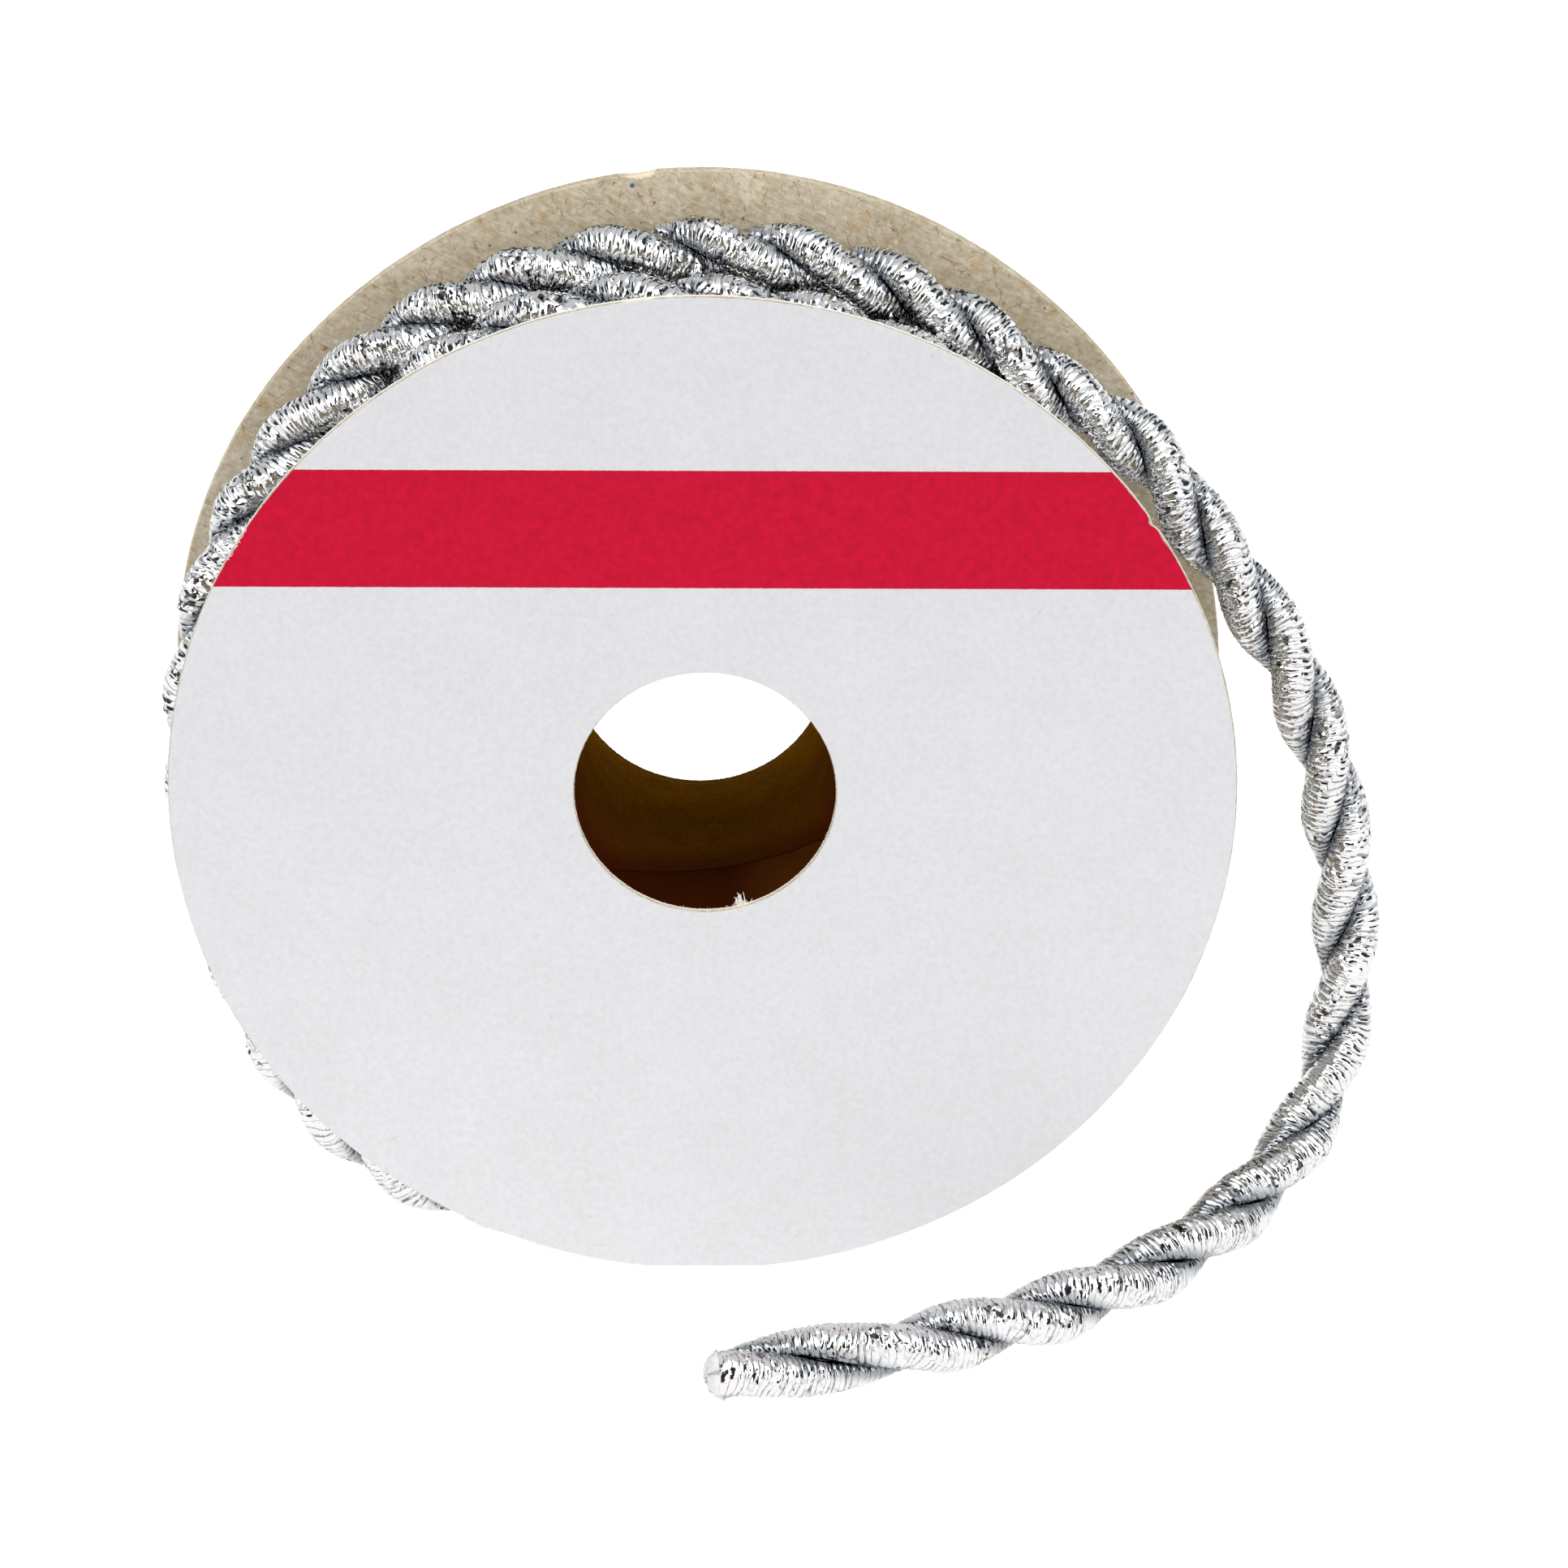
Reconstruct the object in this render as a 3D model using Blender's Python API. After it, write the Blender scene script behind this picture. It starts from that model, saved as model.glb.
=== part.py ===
"""Two-ply metallic cord trim wound on a cardboard reel, with one loose end.

The reel stands on its two rims with its axle along Y and its printed face
towards -Y. The floor is Z = 0 and the axle is above X = Y = 0. Blender units
are metres; sizes below are given in millimetres and turned into metres by MM.
"""

import math

import bmesh
import bpy
import numpy as np

MM = 0.001

# Reel. The flat depth is how far each rim is pressed flat where it stands
FLANGE_RADIUS = 38.1
FLAT_DEPTH = 0.3
AXLE_HEIGHT = FLANGE_RADIUS - FLAT_DEPTH
BORE_RADIUS = 9.45
BOARD = 1.2
REEL_WIDTH = 23.4
GAP = 0.3
LABEL_THICKNESS = 0.4
LABEL_INSET = 0.2
CORE_WALL = 1.5
RIM_SIDES = 96
BORE_SIDES = 48

FRONT_FACE = -REEL_WIDTH / 2
BACK_FACE = REEL_WIDTH / 2
FRONT_BOARD_OUT = FRONT_FACE + LABEL_THICKNESS + GAP
FRONT_BOARD_IN = FRONT_BOARD_OUT + BOARD
BACK_BOARD_IN = BACK_FACE - BOARD
CORE_RADIUS = BORE_RADIUS + CORE_WALL

# Cord: two plies laid side by side and twisted
PLY_RADIUS = 1.65
PLY_OFFSET = 0.87
CORD_POINTS = 10
STEPS_PER_HALF_TWIST = 5

# Wound form: the turns of its outer layer lie side by side
WOUND_FRONT = FRONT_BOARD_IN + GAP
WOUND_BACK = BACK_BOARD_IN - GAP
TURN_RADII = (30.4, 30.5, 31.0, 30.0)
TURN_PITCH = (WOUND_BACK - WOUND_FRONT) / len(TURN_RADII)
VALLEY_DEPTH = 1.2
HALF_TWISTS_PER_TURN = 28
STEPS_PER_WOUND_HALF_TWIST = 4
WOUND_STEPS = STEPS_PER_WOUND_HALF_TWIST * HALF_TWISTS_PER_TURN
ROWS_PER_TURN = 6
TURN_LAG = 0.35

# The third turn stands proud where it has slackened at the upper left. Angles
# are in degrees about the axle from +X
SLACK_TURN = 2
SLACK_RISE = 1.5
SLACK_ANGLE = 118.0
SLACK_HALF_WIDTH = 45.0

# Last turn, which has slackened round the wound form. Angles are about the
# axle from +X, negative clockwise as seen from the printed face.
# Columns: angle in degrees, radius of the cord's middle, Y
LAST_TURN = [
    (-30, 27.6, -6.6),
    (-48, 31.0, -6.8),
    (-66, 33.2, -6.9),
    (-86, 34.2, -6.9),
    (-104, 36.0, -6.9),
    (-118, 38.4, -6.9),
    (-130, 38.8, -6.8),
    (-145, 38.0, -6.0),
    (-162, 36.8, -3.9),
    (-180, 36.6, -1.4),
    (-198, 36.4, 1.6),
    (-216, 35.8, 4.2),
    (-234, 35.0, 6.1),
    (-252, 34.2, 7.2),
    (-270, 33.9, 7.5),
    (-288, 33.7, 7.0),
    (-303, 33.8, 6.0),
    (-316, 34.9, 5.2),
]

# Loose end: over the rims, down the side and round on the floor to the front.
# Columns: X, Y, height of the cord's middle above the floor
LOOSE_END = [
    (32.5, 4.6, 56.5),
    (34.9, 4.4, 52.9),
    (37.4, 4.3, 49.2),
    (39.9, 4.3, 45.3),
    (42.2, 4.4, 41.3),
    (43.9, 4.6, 36.9),
    (45.3, 4.8, 32.4),
    (46.2, 5.0, 27.6),
    (46.8, 5.1, 22.9),
    (47.0, 5.1, 18.2),
    (46.8, 4.8, 13.6),
    (46.2, 3.6, 9.5),
    (44.7, 1.1, 6.2),
    (42.4, -2.4, 3.9),
    (39.4, -7.0, 2.7),
    (35.8, -12.8, 2.6),
    (32.0, -17.6, 2.6),
    (28.1, -21.2, 2.6),
    (24.1, -24.3, 2.6),
    (20.0, -26.6, 2.6),
    (16.0, -28.6, 2.6),
    (11.9, -30.2, 2.6),
    (7.7, -31.5, 2.6),
    (3.6, -32.8, 2.6),
    (0.9, -33.9, 2.6),
]

# How far the plies have turned about each other along the cord.
# Columns: distance from the exit, half twists from the exit
TWIST = [
    (-190.0, -28.0),
    (-74.5, -11.0),
    (-34.3, -5.0),
    (1.4, 0.0),
    (61.7, 7.0),
    (82.8, 9.0),
    (100.0, 11.0),
    (112.7, 12.0),
    (125.0, 12.6),
]
# The direction in which the plies lie behind each other at a whole half twist
TWIST_FACING = (0.0, -0.9087, 0.4174)
ROUTE_SAMPLES = 6000
TANGENT_REACH = 0.2

SHARP_ANGLE = 50.0
BOARD_COLOUR = (0.48, 0.40, 0.30, 1.0)
PAPER_COLOUR = (0.79, 0.78, 0.80, 1.0)
CORE_COLOUR = (0.09, 0.05, 0.03, 1.0)
SILVER_COLOUR = (0.78, 0.79, 0.81, 1.0)


def clear_scene():
    """Remove the objects of the start-up scene."""
    for old in list(bpy.data.objects):
        bpy.data.objects.remove(old, do_unlink=True)


def material(name, colour, roughness, metallic):
    """Return a Principled material."""
    result = bpy.data.materials.new(name)
    result.use_nodes = True
    shader = result.node_tree.nodes["Principled BSDF"]
    shader.inputs["Base Color"].default_value = colour
    shader.inputs["Roughness"].default_value = roughness
    shader.inputs["Metallic"].default_value = metallic
    return result


def link_mesh(name, bm, finish):
    """Turn a bmesh into a smooth-shaded object with its faces pointing out."""
    bmesh.ops.recalc_face_normals(bm, faces=bm.faces)
    mesh = bpy.data.meshes.new(name)
    bm.to_mesh(mesh)
    bm.free()
    mesh.shade_smooth()
    mesh.set_sharp_from_angle(angle=math.radians(SHARP_ANGLE))
    mesh.materials.append(finish)
    result = bpy.data.objects.new(name, mesh)
    bpy.context.scene.collection.objects.link(result)
    return result


def surface(name, verts_mm, faces, finish):
    """Make an object of triangles from vertices in millimetres."""
    bm = bmesh.new()
    verts = [bm.verts.new((x * MM, y * MM, z * MM)) for x, y, z in verts_mm]
    for face in faces:
        bm.faces.new([verts[i] for i in face])
    bmesh.ops.triangulate(bm, faces=bm.faces)
    return link_mesh(name, bm, finish)


def rim_outline(radius, floor):
    """Return the outline of a disc that has a flat spot at height floor, as (x, z)."""
    half_flat = math.asin(math.sqrt(radius**2 - (AXLE_HEIGHT - floor) ** 2) / radius)
    start = -math.pi / 2 + half_flat
    sweep = 2 * math.pi - 2 * half_flat
    outline = []
    for i in range(RIM_SIDES + 1):
        angle = start + sweep * i / RIM_SIDES
        z = AXLE_HEIGHT + radius * math.sin(angle)
        outline.append((radius * math.cos(angle), max(z, floor)))
    return outline


def circle_outline(radius, sides):
    """Return a circle about the axle as (x, z)."""
    return [
        (radius * math.cos(a), AXLE_HEIGHT + radius * math.sin(a))
        for a in (2 * math.pi * i / sides for i in range(sides))
    ]


def plate(name, outline, bore, y_front, y_back, finish):
    """Extrude a disc with a hole between two Y positions."""
    bm = bmesh.new()
    edges = []
    for loop in (outline, bore):
        ring = [bm.verts.new((x * MM, y_front * MM, z * MM)) for x, z in loop]
        edges += [bm.edges.new((ring[i - 1], ring[i])) for i in range(len(ring))]
    bmesh.ops.triangle_fill(bm, use_beauty=True, edges=edges, normal=(0, -1, 0))
    extruded = bmesh.ops.extrude_face_region(bm, geom=list(bm.faces))
    moved = [v for v in extruded["geom"] if isinstance(v, bmesh.types.BMVert)]
    bmesh.ops.translate(bm, verts=moved, vec=(0, (y_back - y_front) * MM, 0))
    return link_mesh(name, bm, finish)


def smooth_route(points):
    """Return points on a natural cubic curve through a route, and their distances."""
    pts = np.array(points, dtype=float)
    step = np.linalg.norm(np.diff(pts, axis=0), axis=1)
    count = len(pts)
    system = np.zeros((count, count))
    right = np.zeros((count, 3))
    system[0, 0] = system[-1, -1] = 1.0
    for i in range(1, count - 1):
        system[i, i - 1 : i + 2] = step[i - 1], 2 * (step[i - 1] + step[i]), step[i]
        slope_after = (pts[i + 1] - pts[i]) / step[i]
        slope_before = (pts[i] - pts[i - 1]) / step[i - 1]
        right[i] = 6 * (slope_after - slope_before)
    bend = np.linalg.solve(system, right)
    knots = np.concatenate([[0.0], np.cumsum(step)])
    where = np.linspace(0.0, knots[-1], ROUTE_SAMPLES)
    piece = np.clip(np.searchsorted(knots, where, side="right") - 1, 0, count - 2)
    size = step[piece][:, None]
    before = where[:, None] - knots[piece][:, None]
    after = size - before
    curve = (bend[piece] * after**3 + bend[piece + 1] * before**3) / (6 * size)
    curve += (pts[piece] / size - bend[piece] * size / 6) * after
    curve += (pts[piece + 1] / size - bend[piece + 1] * size / 6) * before
    run = np.concatenate([[0.0], np.cumsum(np.linalg.norm(np.diff(curve, axis=0), axis=1))])
    return curve, run


def cord_route():
    """Return the cord's middle line, its distances, and the distance of the exit."""
    turn = []
    for angle, radius, y in LAST_TURN:
        a = math.radians(angle)
        turn.append((radius * math.cos(a), y, AXLE_HEIGHT + radius * math.sin(a)))
    curve, run = smooth_route(turn + LOOSE_END)
    nearest = np.argmin(np.linalg.norm(curve - np.array(LOOSE_END[0]), axis=1))
    return curve, run, run[nearest]


def half_twists(distance):
    """Return the half twists at distances from the exit."""
    table = np.array(TWIST)
    return np.interp(distance, table[:, 0], table[:, 1])


def cord_section():
    """Return the outline of two plies side by side, as (along the pair, across it)."""
    outline = []
    for i in range(CORD_POINTS):
        angle = 2 * math.pi * i / CORD_POINTS
        reach = PLY_OFFSET * abs(math.cos(angle))
        reach += math.sqrt(PLY_RADIUS**2 - (PLY_OFFSET * math.sin(angle)) ** 2)
        outline.append((reach * math.cos(angle), reach * math.sin(angle)))
    return outline


def points_at(curve, run, distances):
    """Return the points at distances along a curve."""
    return np.stack([np.interp(distances, run, curve[:, k]) for k in range(3)], axis=1)


def twisted_tube(curve, run, start, stop, exit_at):
    """Return vertices and faces of the twisted cord between two distances."""
    first, last = half_twists(np.array([start - exit_at, stop - exit_at]))
    rings = math.ceil((last - first) * STEPS_PER_HALF_TWIST)
    distances = np.linspace(start, stop, rings + 1)
    middle = points_at(curve, run, distances)
    ahead = points_at(curve, run, distances + TANGENT_REACH)
    behind = points_at(curve, run, distances - TANGENT_REACH)
    facing = np.array(TWIST_FACING)
    section = cord_section()
    verts = []
    for ring, distance in enumerate(distances):
        tangent = ahead[ring] - behind[ring]
        tangent /= np.linalg.norm(tangent)
        front = facing - tangent * np.dot(facing, tangent)
        front /= np.linalg.norm(front)
        side = np.cross(tangent, front)
        turn = math.pi * float(half_twists(distance - exit_at))
        along = math.cos(turn) * front + math.sin(turn) * side
        across = np.cross(tangent, along)
        for u, v in section:
            verts.append(middle[ring] + u * along + v * across)
    faces = [list(range(CORD_POINTS))]
    for ring in range(rings):
        for i in range(CORD_POINTS):
            a = ring * CORD_POINTS + i
            b = ring * CORD_POINTS + (i + 1) % CORD_POINTS
            faces.append([a, b, b + CORD_POINTS, a + CORD_POINTS])
    faces.append(list(range(rings * CORD_POINTS, (rings + 1) * CORD_POINTS)))
    return verts, faces


def turn_radius(turn, turned):
    """Return the radius of a turn's middle, at a clockwise angle from the top."""
    if turn != SLACK_TURN:
        return TURN_RADII[turn]
    off = (90 - math.degrees(turned) - SLACK_ANGLE + 180) % 360 - 180
    share = min(1.0, abs(off) / SLACK_HALF_WIDTH)
    return TURN_RADII[turn] + SLACK_RISE * math.cos(math.pi / 2 * share) ** 2


def turn_height(turn, turned, y):
    """Return the radius of a turn's surface, at a clockwise angle from the top."""
    radius = turn_radius(turn, turned)
    middle = WOUND_FRONT + (turn + 0.5) * TURN_PITCH
    twist = turned * HALF_TWISTS_PER_TURN / 2 + math.pi * TURN_LAG * turn
    best = radius - VALLEY_DEPTH
    for side in (1, -1):
        off = y - middle + side * PLY_OFFSET * math.sin(twist)
        if abs(off) < PLY_RADIUS:
            rise = side * PLY_OFFSET * math.cos(twist)
            best = max(best, radius + rise + math.sqrt(PLY_RADIUS**2 - off**2))
    return best


def wound_layers():
    """Return vertices and faces of the wound form without its slack last turn."""
    inner = CORE_RADIUS + GAP
    verts = []
    for step in range(WOUND_STEPS):
        turned = 2 * math.pi * step / WOUND_STEPS
        angle = math.pi / 2 - turned
        ring = [(inner, WOUND_FRONT)]
        for turn in range(len(TURN_RADII)):
            for row in range(ROWS_PER_TURN):
                y = WOUND_FRONT + (turn + row / (ROWS_PER_TURN - 1)) * TURN_PITCH
                if row or not turn:
                    ring.append((turn_height(turn, turned, y), y))
        ring.append((inner, WOUND_BACK))
        for radius, y in ring:
            verts.append((radius * math.cos(angle), y, AXLE_HEIGHT + radius * math.sin(angle)))
    per_ring = len(verts) // WOUND_STEPS
    faces = []
    for step in range(WOUND_STEPS):
        here = step * per_ring
        there = (step + 1) % WOUND_STEPS * per_ring
        for i in range(per_ring):
            j = (i + 1) % per_ring
            faces.append([here + i, here + j, there + j, there + i])
    return verts, faces


def build_reel():
    """Build the two cardboard flanges, the printed paper and the core tube."""
    board = material("chipboard", BOARD_COLOUR, 0.9, 0.0)
    paper = material("printed_paper", PAPER_COLOUR, 0.55, 0.0)
    brown = material("core_board", CORE_COLOUR, 0.9, 0.0)
    rim = rim_outline(FLANGE_RADIUS, 0.0)
    bore = circle_outline(BORE_RADIUS, BORE_SIDES)
    plate("flange_back", rim, bore, BACK_BOARD_IN, BACK_FACE, board)
    plate("flange_front", rim, bore, FRONT_BOARD_OUT, FRONT_BOARD_IN, board)
    label_rim = rim_outline(FLANGE_RADIUS - LABEL_INSET, LABEL_INSET)
    label_bore = circle_outline(BORE_RADIUS + LABEL_INSET, BORE_SIDES)
    label_back = FRONT_FACE + LABEL_THICKNESS
    plate("label", label_rim, label_bore, FRONT_FACE, label_back, paper)
    core_outside = circle_outline(CORE_RADIUS, BORE_SIDES)
    plate("core", core_outside, bore, WOUND_FRONT, WOUND_BACK, brown)


def join_solids(base, tool):
    """Union one solid of triangles into another and split the cut faces."""
    union = base.modifiers.new("union", "BOOLEAN")
    union.operation = "UNION"
    union.object = tool
    evaluated = base.evaluated_get(bpy.context.evaluated_depsgraph_get())
    joined = bpy.data.meshes.new_from_object(evaluated)
    bm = bmesh.new()
    bm.from_mesh(joined)
    bmesh.ops.triangulate(bm, faces=bm.faces)
    bm.to_mesh(joined)
    bm.free()
    base.modifiers.remove(union)
    base.data = joined
    bpy.data.objects.remove(tool, do_unlink=True)


def build_cord():
    """Build the wound cord with its slack last turn, and the loose end."""
    silver = material("metallised_cord", SILVER_COLOUR, 0.25, 0.9)
    curve, run, exit_at = cord_route()
    winding = surface("winding", *wound_layers(), silver)
    last_turn = surface("last_turn", *twisted_tube(curve, run, 0.0, exit_at, exit_at), silver)
    join_solids(winding, last_turn)
    surface("loose_end", *twisted_tube(curve, run, exit_at + GAP, run[-1], exit_at), silver)


clear_scene()
build_reel()
build_cord()
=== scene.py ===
"""Looks of a two-ply metallic cord trim wound on a cardboard spool.

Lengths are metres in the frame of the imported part: +Z is up, the floor is at
Z = 0, the spool's axle lies along Y over X = Y = 0 and its printed face looks
towards -Y.

Attributes of a ply's points: "lay" is its own straightened coordinates in
millimetres, two across the ply and one along it; "axis" is the way along it;
"outwards" is how far a point is from the middle of the ply, away from the other
ply, in radii; "open_side" is 0 where the plies touch and 1 elsewhere; "cut" is
1 on the filling at a cut end; and "strip" counts the turns of the ribbon.
"heading", on an edge, is the way that its torn fibres point.
"""

import logging
import math
from collections.abc import Sequence
from dataclasses import dataclass, field
from enum import Enum

import bmesh
import bpy
import numpy as np
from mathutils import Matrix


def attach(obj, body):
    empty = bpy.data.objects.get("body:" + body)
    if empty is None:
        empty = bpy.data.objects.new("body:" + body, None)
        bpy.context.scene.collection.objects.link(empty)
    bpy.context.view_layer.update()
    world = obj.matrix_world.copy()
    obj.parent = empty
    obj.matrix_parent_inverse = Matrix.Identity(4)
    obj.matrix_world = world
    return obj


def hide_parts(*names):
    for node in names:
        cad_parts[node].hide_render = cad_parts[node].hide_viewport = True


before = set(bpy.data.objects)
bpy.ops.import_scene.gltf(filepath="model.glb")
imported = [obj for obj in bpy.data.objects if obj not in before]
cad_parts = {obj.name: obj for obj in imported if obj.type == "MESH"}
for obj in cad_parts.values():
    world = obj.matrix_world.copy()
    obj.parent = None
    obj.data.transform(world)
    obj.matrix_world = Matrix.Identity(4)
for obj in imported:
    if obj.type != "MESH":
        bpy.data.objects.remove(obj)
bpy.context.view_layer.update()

LOG = logging.getLogger("cord_trim")
MM = 0.001
PER_MM = 1000.0
# Edges of a disc or tube that are steeper than this stay sharp
SHARP_ANGLE = math.radians(40)
Colour = tuple[float, float, float]

# Spool sizes
AXLE_HEIGHT = 0.0378
FLANGE_RADIUS = 0.0381
BORE_RADIUS = 0.00945
FRONT_FACE = -0.0117
BACK_FACE = 0.0117

# Two plies laid side by side and twisted
PLY_RADIUS = 0.00165
PLY_OFFSET = 0.00087
# How much closer a ply's points stand on its open side
OPEN_SIDE_SHARE = 0.35
# How far out, in radii, a ply begins to open, and over how much it does
OPENS_FROM = -0.52
OPENS_OVER = 0.35
# Gap between the flat sides of the plies
PRESS_GAP = 0.00003
# How boxy a ply's flat side is
PRESS_SHARPNESS = 7.0
# What sets the two plies' patterns apart
PLY_SHIFT = 0.02
# How uneven the rings of a ply's cut end are
CUT_UNEVENNESS = 0.05
CUT_REACH_RANGE = (0.8, 1.2)
# How many of those rings are still foil
CUT_LIP_RINGS = 1
# How much the cut slants towards the camera, and over what length
CUT_SLANT = 0.20
CUT_SLANT_LENGTH = 0.0015
# The way to the camera, for the cut end and for the twist
TO_CAMERA = (0.0, -0.909, 0.417)
TWIST_FACING = (0.0, -0.9087, 0.4174)

# Last turn, slack round the wound form.
# Columns: angle about the axle in degrees, radius of the cord's middle, Y
LAST_TURN = (
    (-30, 0.0276, -0.0066),
    (-48, 0.0310, -0.0068),
    (-66, 0.0332, -0.0069),
    (-86, 0.0342, -0.0069),
    (-104, 0.0360, -0.0069),
    (-118, 0.0384, -0.0069),
    (-130, 0.0388, -0.0068),
    (-145, 0.0380, -0.0060),
    (-162, 0.0368, -0.0039),
    (-180, 0.0366, -0.0014),
    (-198, 0.0364, 0.0016),
    (-216, 0.0358, 0.0042),
    (-234, 0.0350, 0.0061),
    (-252, 0.0342, 0.0072),
    (-270, 0.0339, 0.0075),
    (-288, 0.0341, 0.0070),
    (-303, 0.0343, 0.0060),
    (-316, 0.0349, 0.0052),
)

# Loose end, from where it leaves the rims. Columns: X, Y, Z
LOOSE_END = (
    (0.0325, 0.0046, 0.0565),
    (0.0349, 0.0044, 0.0529),
    (0.0374, 0.0043, 0.0492),
    (0.0399, 0.0043, 0.0453),
    (0.0422, 0.0044, 0.0413),
    (0.0439, 0.0046, 0.0369),
    (0.0453, 0.0048, 0.0324),
    (0.0462, 0.0050, 0.0276),
    (0.0468, 0.0051, 0.0229),
    (0.0470, 0.0051, 0.0182),
    (0.0468, 0.0048, 0.0136),
    (0.0462, 0.0036, 0.0095),
    (0.0447, 0.0011, 0.0062),
    (0.0424, -0.0024, 0.0039),
    (0.0394, -0.0070, 0.0027),
    (0.0358, -0.0128, 0.0026),
    (0.0320, -0.0176, 0.0026),
    (0.0281, -0.0212, 0.0026),
    (0.0241, -0.0243, 0.0026),
    (0.0200, -0.0266, 0.0026),
    (0.0160, -0.0286, 0.0026),
    (0.0119, -0.0302, 0.0026),
    (0.0077, -0.0315, 0.0026),
    (0.0036, -0.0328, 0.0026),
    (0.0009, -0.0339, 0.0026),
)

# Twist of the plies. Columns: distance from the exit, half twists from the exit
TWIST = (
    (-0.1900, -28.0),
    (-0.1000, -14.88),
    (-0.0850, -12.70),
    (-0.0780, -11.70),
    (-0.0707, -10.47),
    (-0.0343, -5.0),
    (0.0014, 0.0),
    (0.0617, 7.0),
    (0.0828, 9.0),
    (0.1000, 11.0),
    (0.1127, 12.0),
    (0.1250, 12.6),
)


class Ply(Enum):
    """Which of the cord's two plies."""

    FIRST = 1
    SECOND = -1


class Slot(Enum):
    """Material slots of the part's record."""

    CHIPBOARD = "chipboard"
    PAPER = "printed_paper"
    CORE = "core_board"
    CORD = "metallic_cord"


class Sock:
    """A node socket that takes part in Python arithmetic."""

    def __init__(self, tree: "Tree", socket: bpy.types.NodeSocket) -> None:
        """Keep the tree and the output socket.

        Args:
            tree: the tree that new Math nodes go into.
            socket: the output socket that holds the value.
        """
        self.tree = tree
        self.socket = socket

    def _math(self, operation: str, *values: "Sock | float") -> "Sock":
        """Return a Math node's result on the values."""
        inputs = dict(enumerate(values))
        return self.tree.node("ShaderNodeMath", {"operation": operation}, inputs)

    def __add__(self, other: "Sock | float") -> "Sock":
        """Return the sum."""
        return self._math("ADD", self, other)

    __radd__ = __add__

    def __sub__(self, other: "Sock | float") -> "Sock":
        """Return this less the other."""
        return self._math("SUBTRACT", self, other)

    def __rsub__(self, other: float) -> "Sock":
        """Return the other less this."""
        return self._math("SUBTRACT", other, self)

    def __mul__(self, other: "Sock | float") -> "Sock":
        """Return the product."""
        return self._math("MULTIPLY", self, other)

    __rmul__ = __mul__

    def __truediv__(self, other: "Sock | float") -> "Sock":
        """Return this over the other."""
        return self._math("DIVIDE", self, other)

    def __pow__(self, other: "Sock | float") -> "Sock":
        """Return this to a power."""
        return self._math("POWER", self, other)

    def __lt__(self, other: "Sock | float") -> "Sock":
        """Return 1 where this is less."""
        return self._math("LESS_THAN", self, other)

    def call(self, operation: str, *others: "Sock | float") -> "Sock":
        """Return a named Math operation on this, such as SINE or FLOOR."""
        return self._math(operation, self, *others)

    def ramp(self, low: float, high: float) -> "Sock":
        """Return a smooth step from 0 at low to 1 at high, or the other way."""
        settings = {"interpolation_type": "SMOOTHSTEP"}
        inputs = {"Value": self, "From Min": low, "From Max": high}
        return self.tree.node("ShaderNodeMapRange", settings, inputs)


class Tree:
    """A node tree that is written as expressions."""

    def __init__(self, nodes: bpy.types.NodeTree) -> None:
        """Start on an empty tree.

        Args:
            nodes: the tree; its nodes are removed.
        """
        self.nodes = nodes
        nodes.nodes.clear()

    def node(self, kind: str, settings: dict | None = None, inputs: dict | None = None,
             out: int | str = 0) -> Sock:
        """Add a node and return one of its outputs.

        Args:
            kind: the node's type.
            settings: its properties, set before its sockets.
            inputs: values or links by the socket's name or number.
            out: the name or number of the output that is wanted.

        Returns:
            The output, or None for a node that has none.
        """
        made = self.nodes.nodes.new(kind)
        for name, value in (settings or {}).items():
            setattr(made, name, value)
        for name, value in (inputs or {}).items():
            socket = made.inputs[name]
            if isinstance(value, Sock):
                self.nodes.links.new(value.socket, socket)
            else:
                socket.default_value = value
        return Sock(self, made.outputs[out]) if len(made.outputs) else None

    def vector(self, operation: str, *values: "Sock | Sequence[float]",
               scale: "Sock | float | None" = None, out: int | str = 0) -> Sock:
        """Return a Vector Math node's result."""
        inputs: dict = dict(enumerate(values))
        if scale is not None:
            inputs["Scale"] = scale
        return self.node("ShaderNodeVectorMath", {"operation": operation}, inputs, out)

    def xyz(self, vector: Sock) -> tuple[Sock, Sock, Sock]:
        """Return the three numbers of a vector."""
        first = self.node("ShaderNodeSeparateXYZ", None, {0: vector})
        outputs = first.socket.node.outputs
        return first, Sock(self, outputs[1]), Sock(self, outputs[2])

    def noise(self, vector: Sock, scale: float, detail: float = 2.0, roughness: float = 0.5,
              out: int | str = 0) -> Sock:
        """Return a noise texture on a vector."""
        inputs = {"Vector": vector, "Scale": scale, "Detail": detail, "Roughness": roughness}
        return self.node("ShaderNodeTexNoise", None, inputs, out)

    def voronoi(self, vector: Sock, scale: float, out: int | str = "Color") -> Sock:
        """Return a Voronoi texture on a vector: each cell's colour, or the distance."""
        return self.node("ShaderNodeTexVoronoi", None, {"Vector": vector, "Scale": scale}, out)

    def attribute(self, name: str, out: str = "Fac") -> Sock:
        """Return an attribute of the surface."""
        return self.node("ShaderNodeAttribute", {"attribute_name": name}, None, out)

    def stored(self, name: str, kind: str) -> Sock:
        """Return an attribute of the points, in a Geometry Nodes tree."""
        return self.node("GeometryNodeInputNamedAttribute", {"data_type": kind}, {"Name": name})

    def mix(self, factor: "Sock | float", first: "Sock | Colour",
            second: "Sock | Colour") -> Sock:
        """Return a mix of two colours."""
        values = [v if isinstance(v, Sock) else (*v, 1.0) for v in (first, second)]
        inputs = {0: factor, 6: values[0], 7: values[1]}
        return self.node("ShaderNodeMix", {"data_type": "RGBA"}, inputs, 2)


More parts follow.
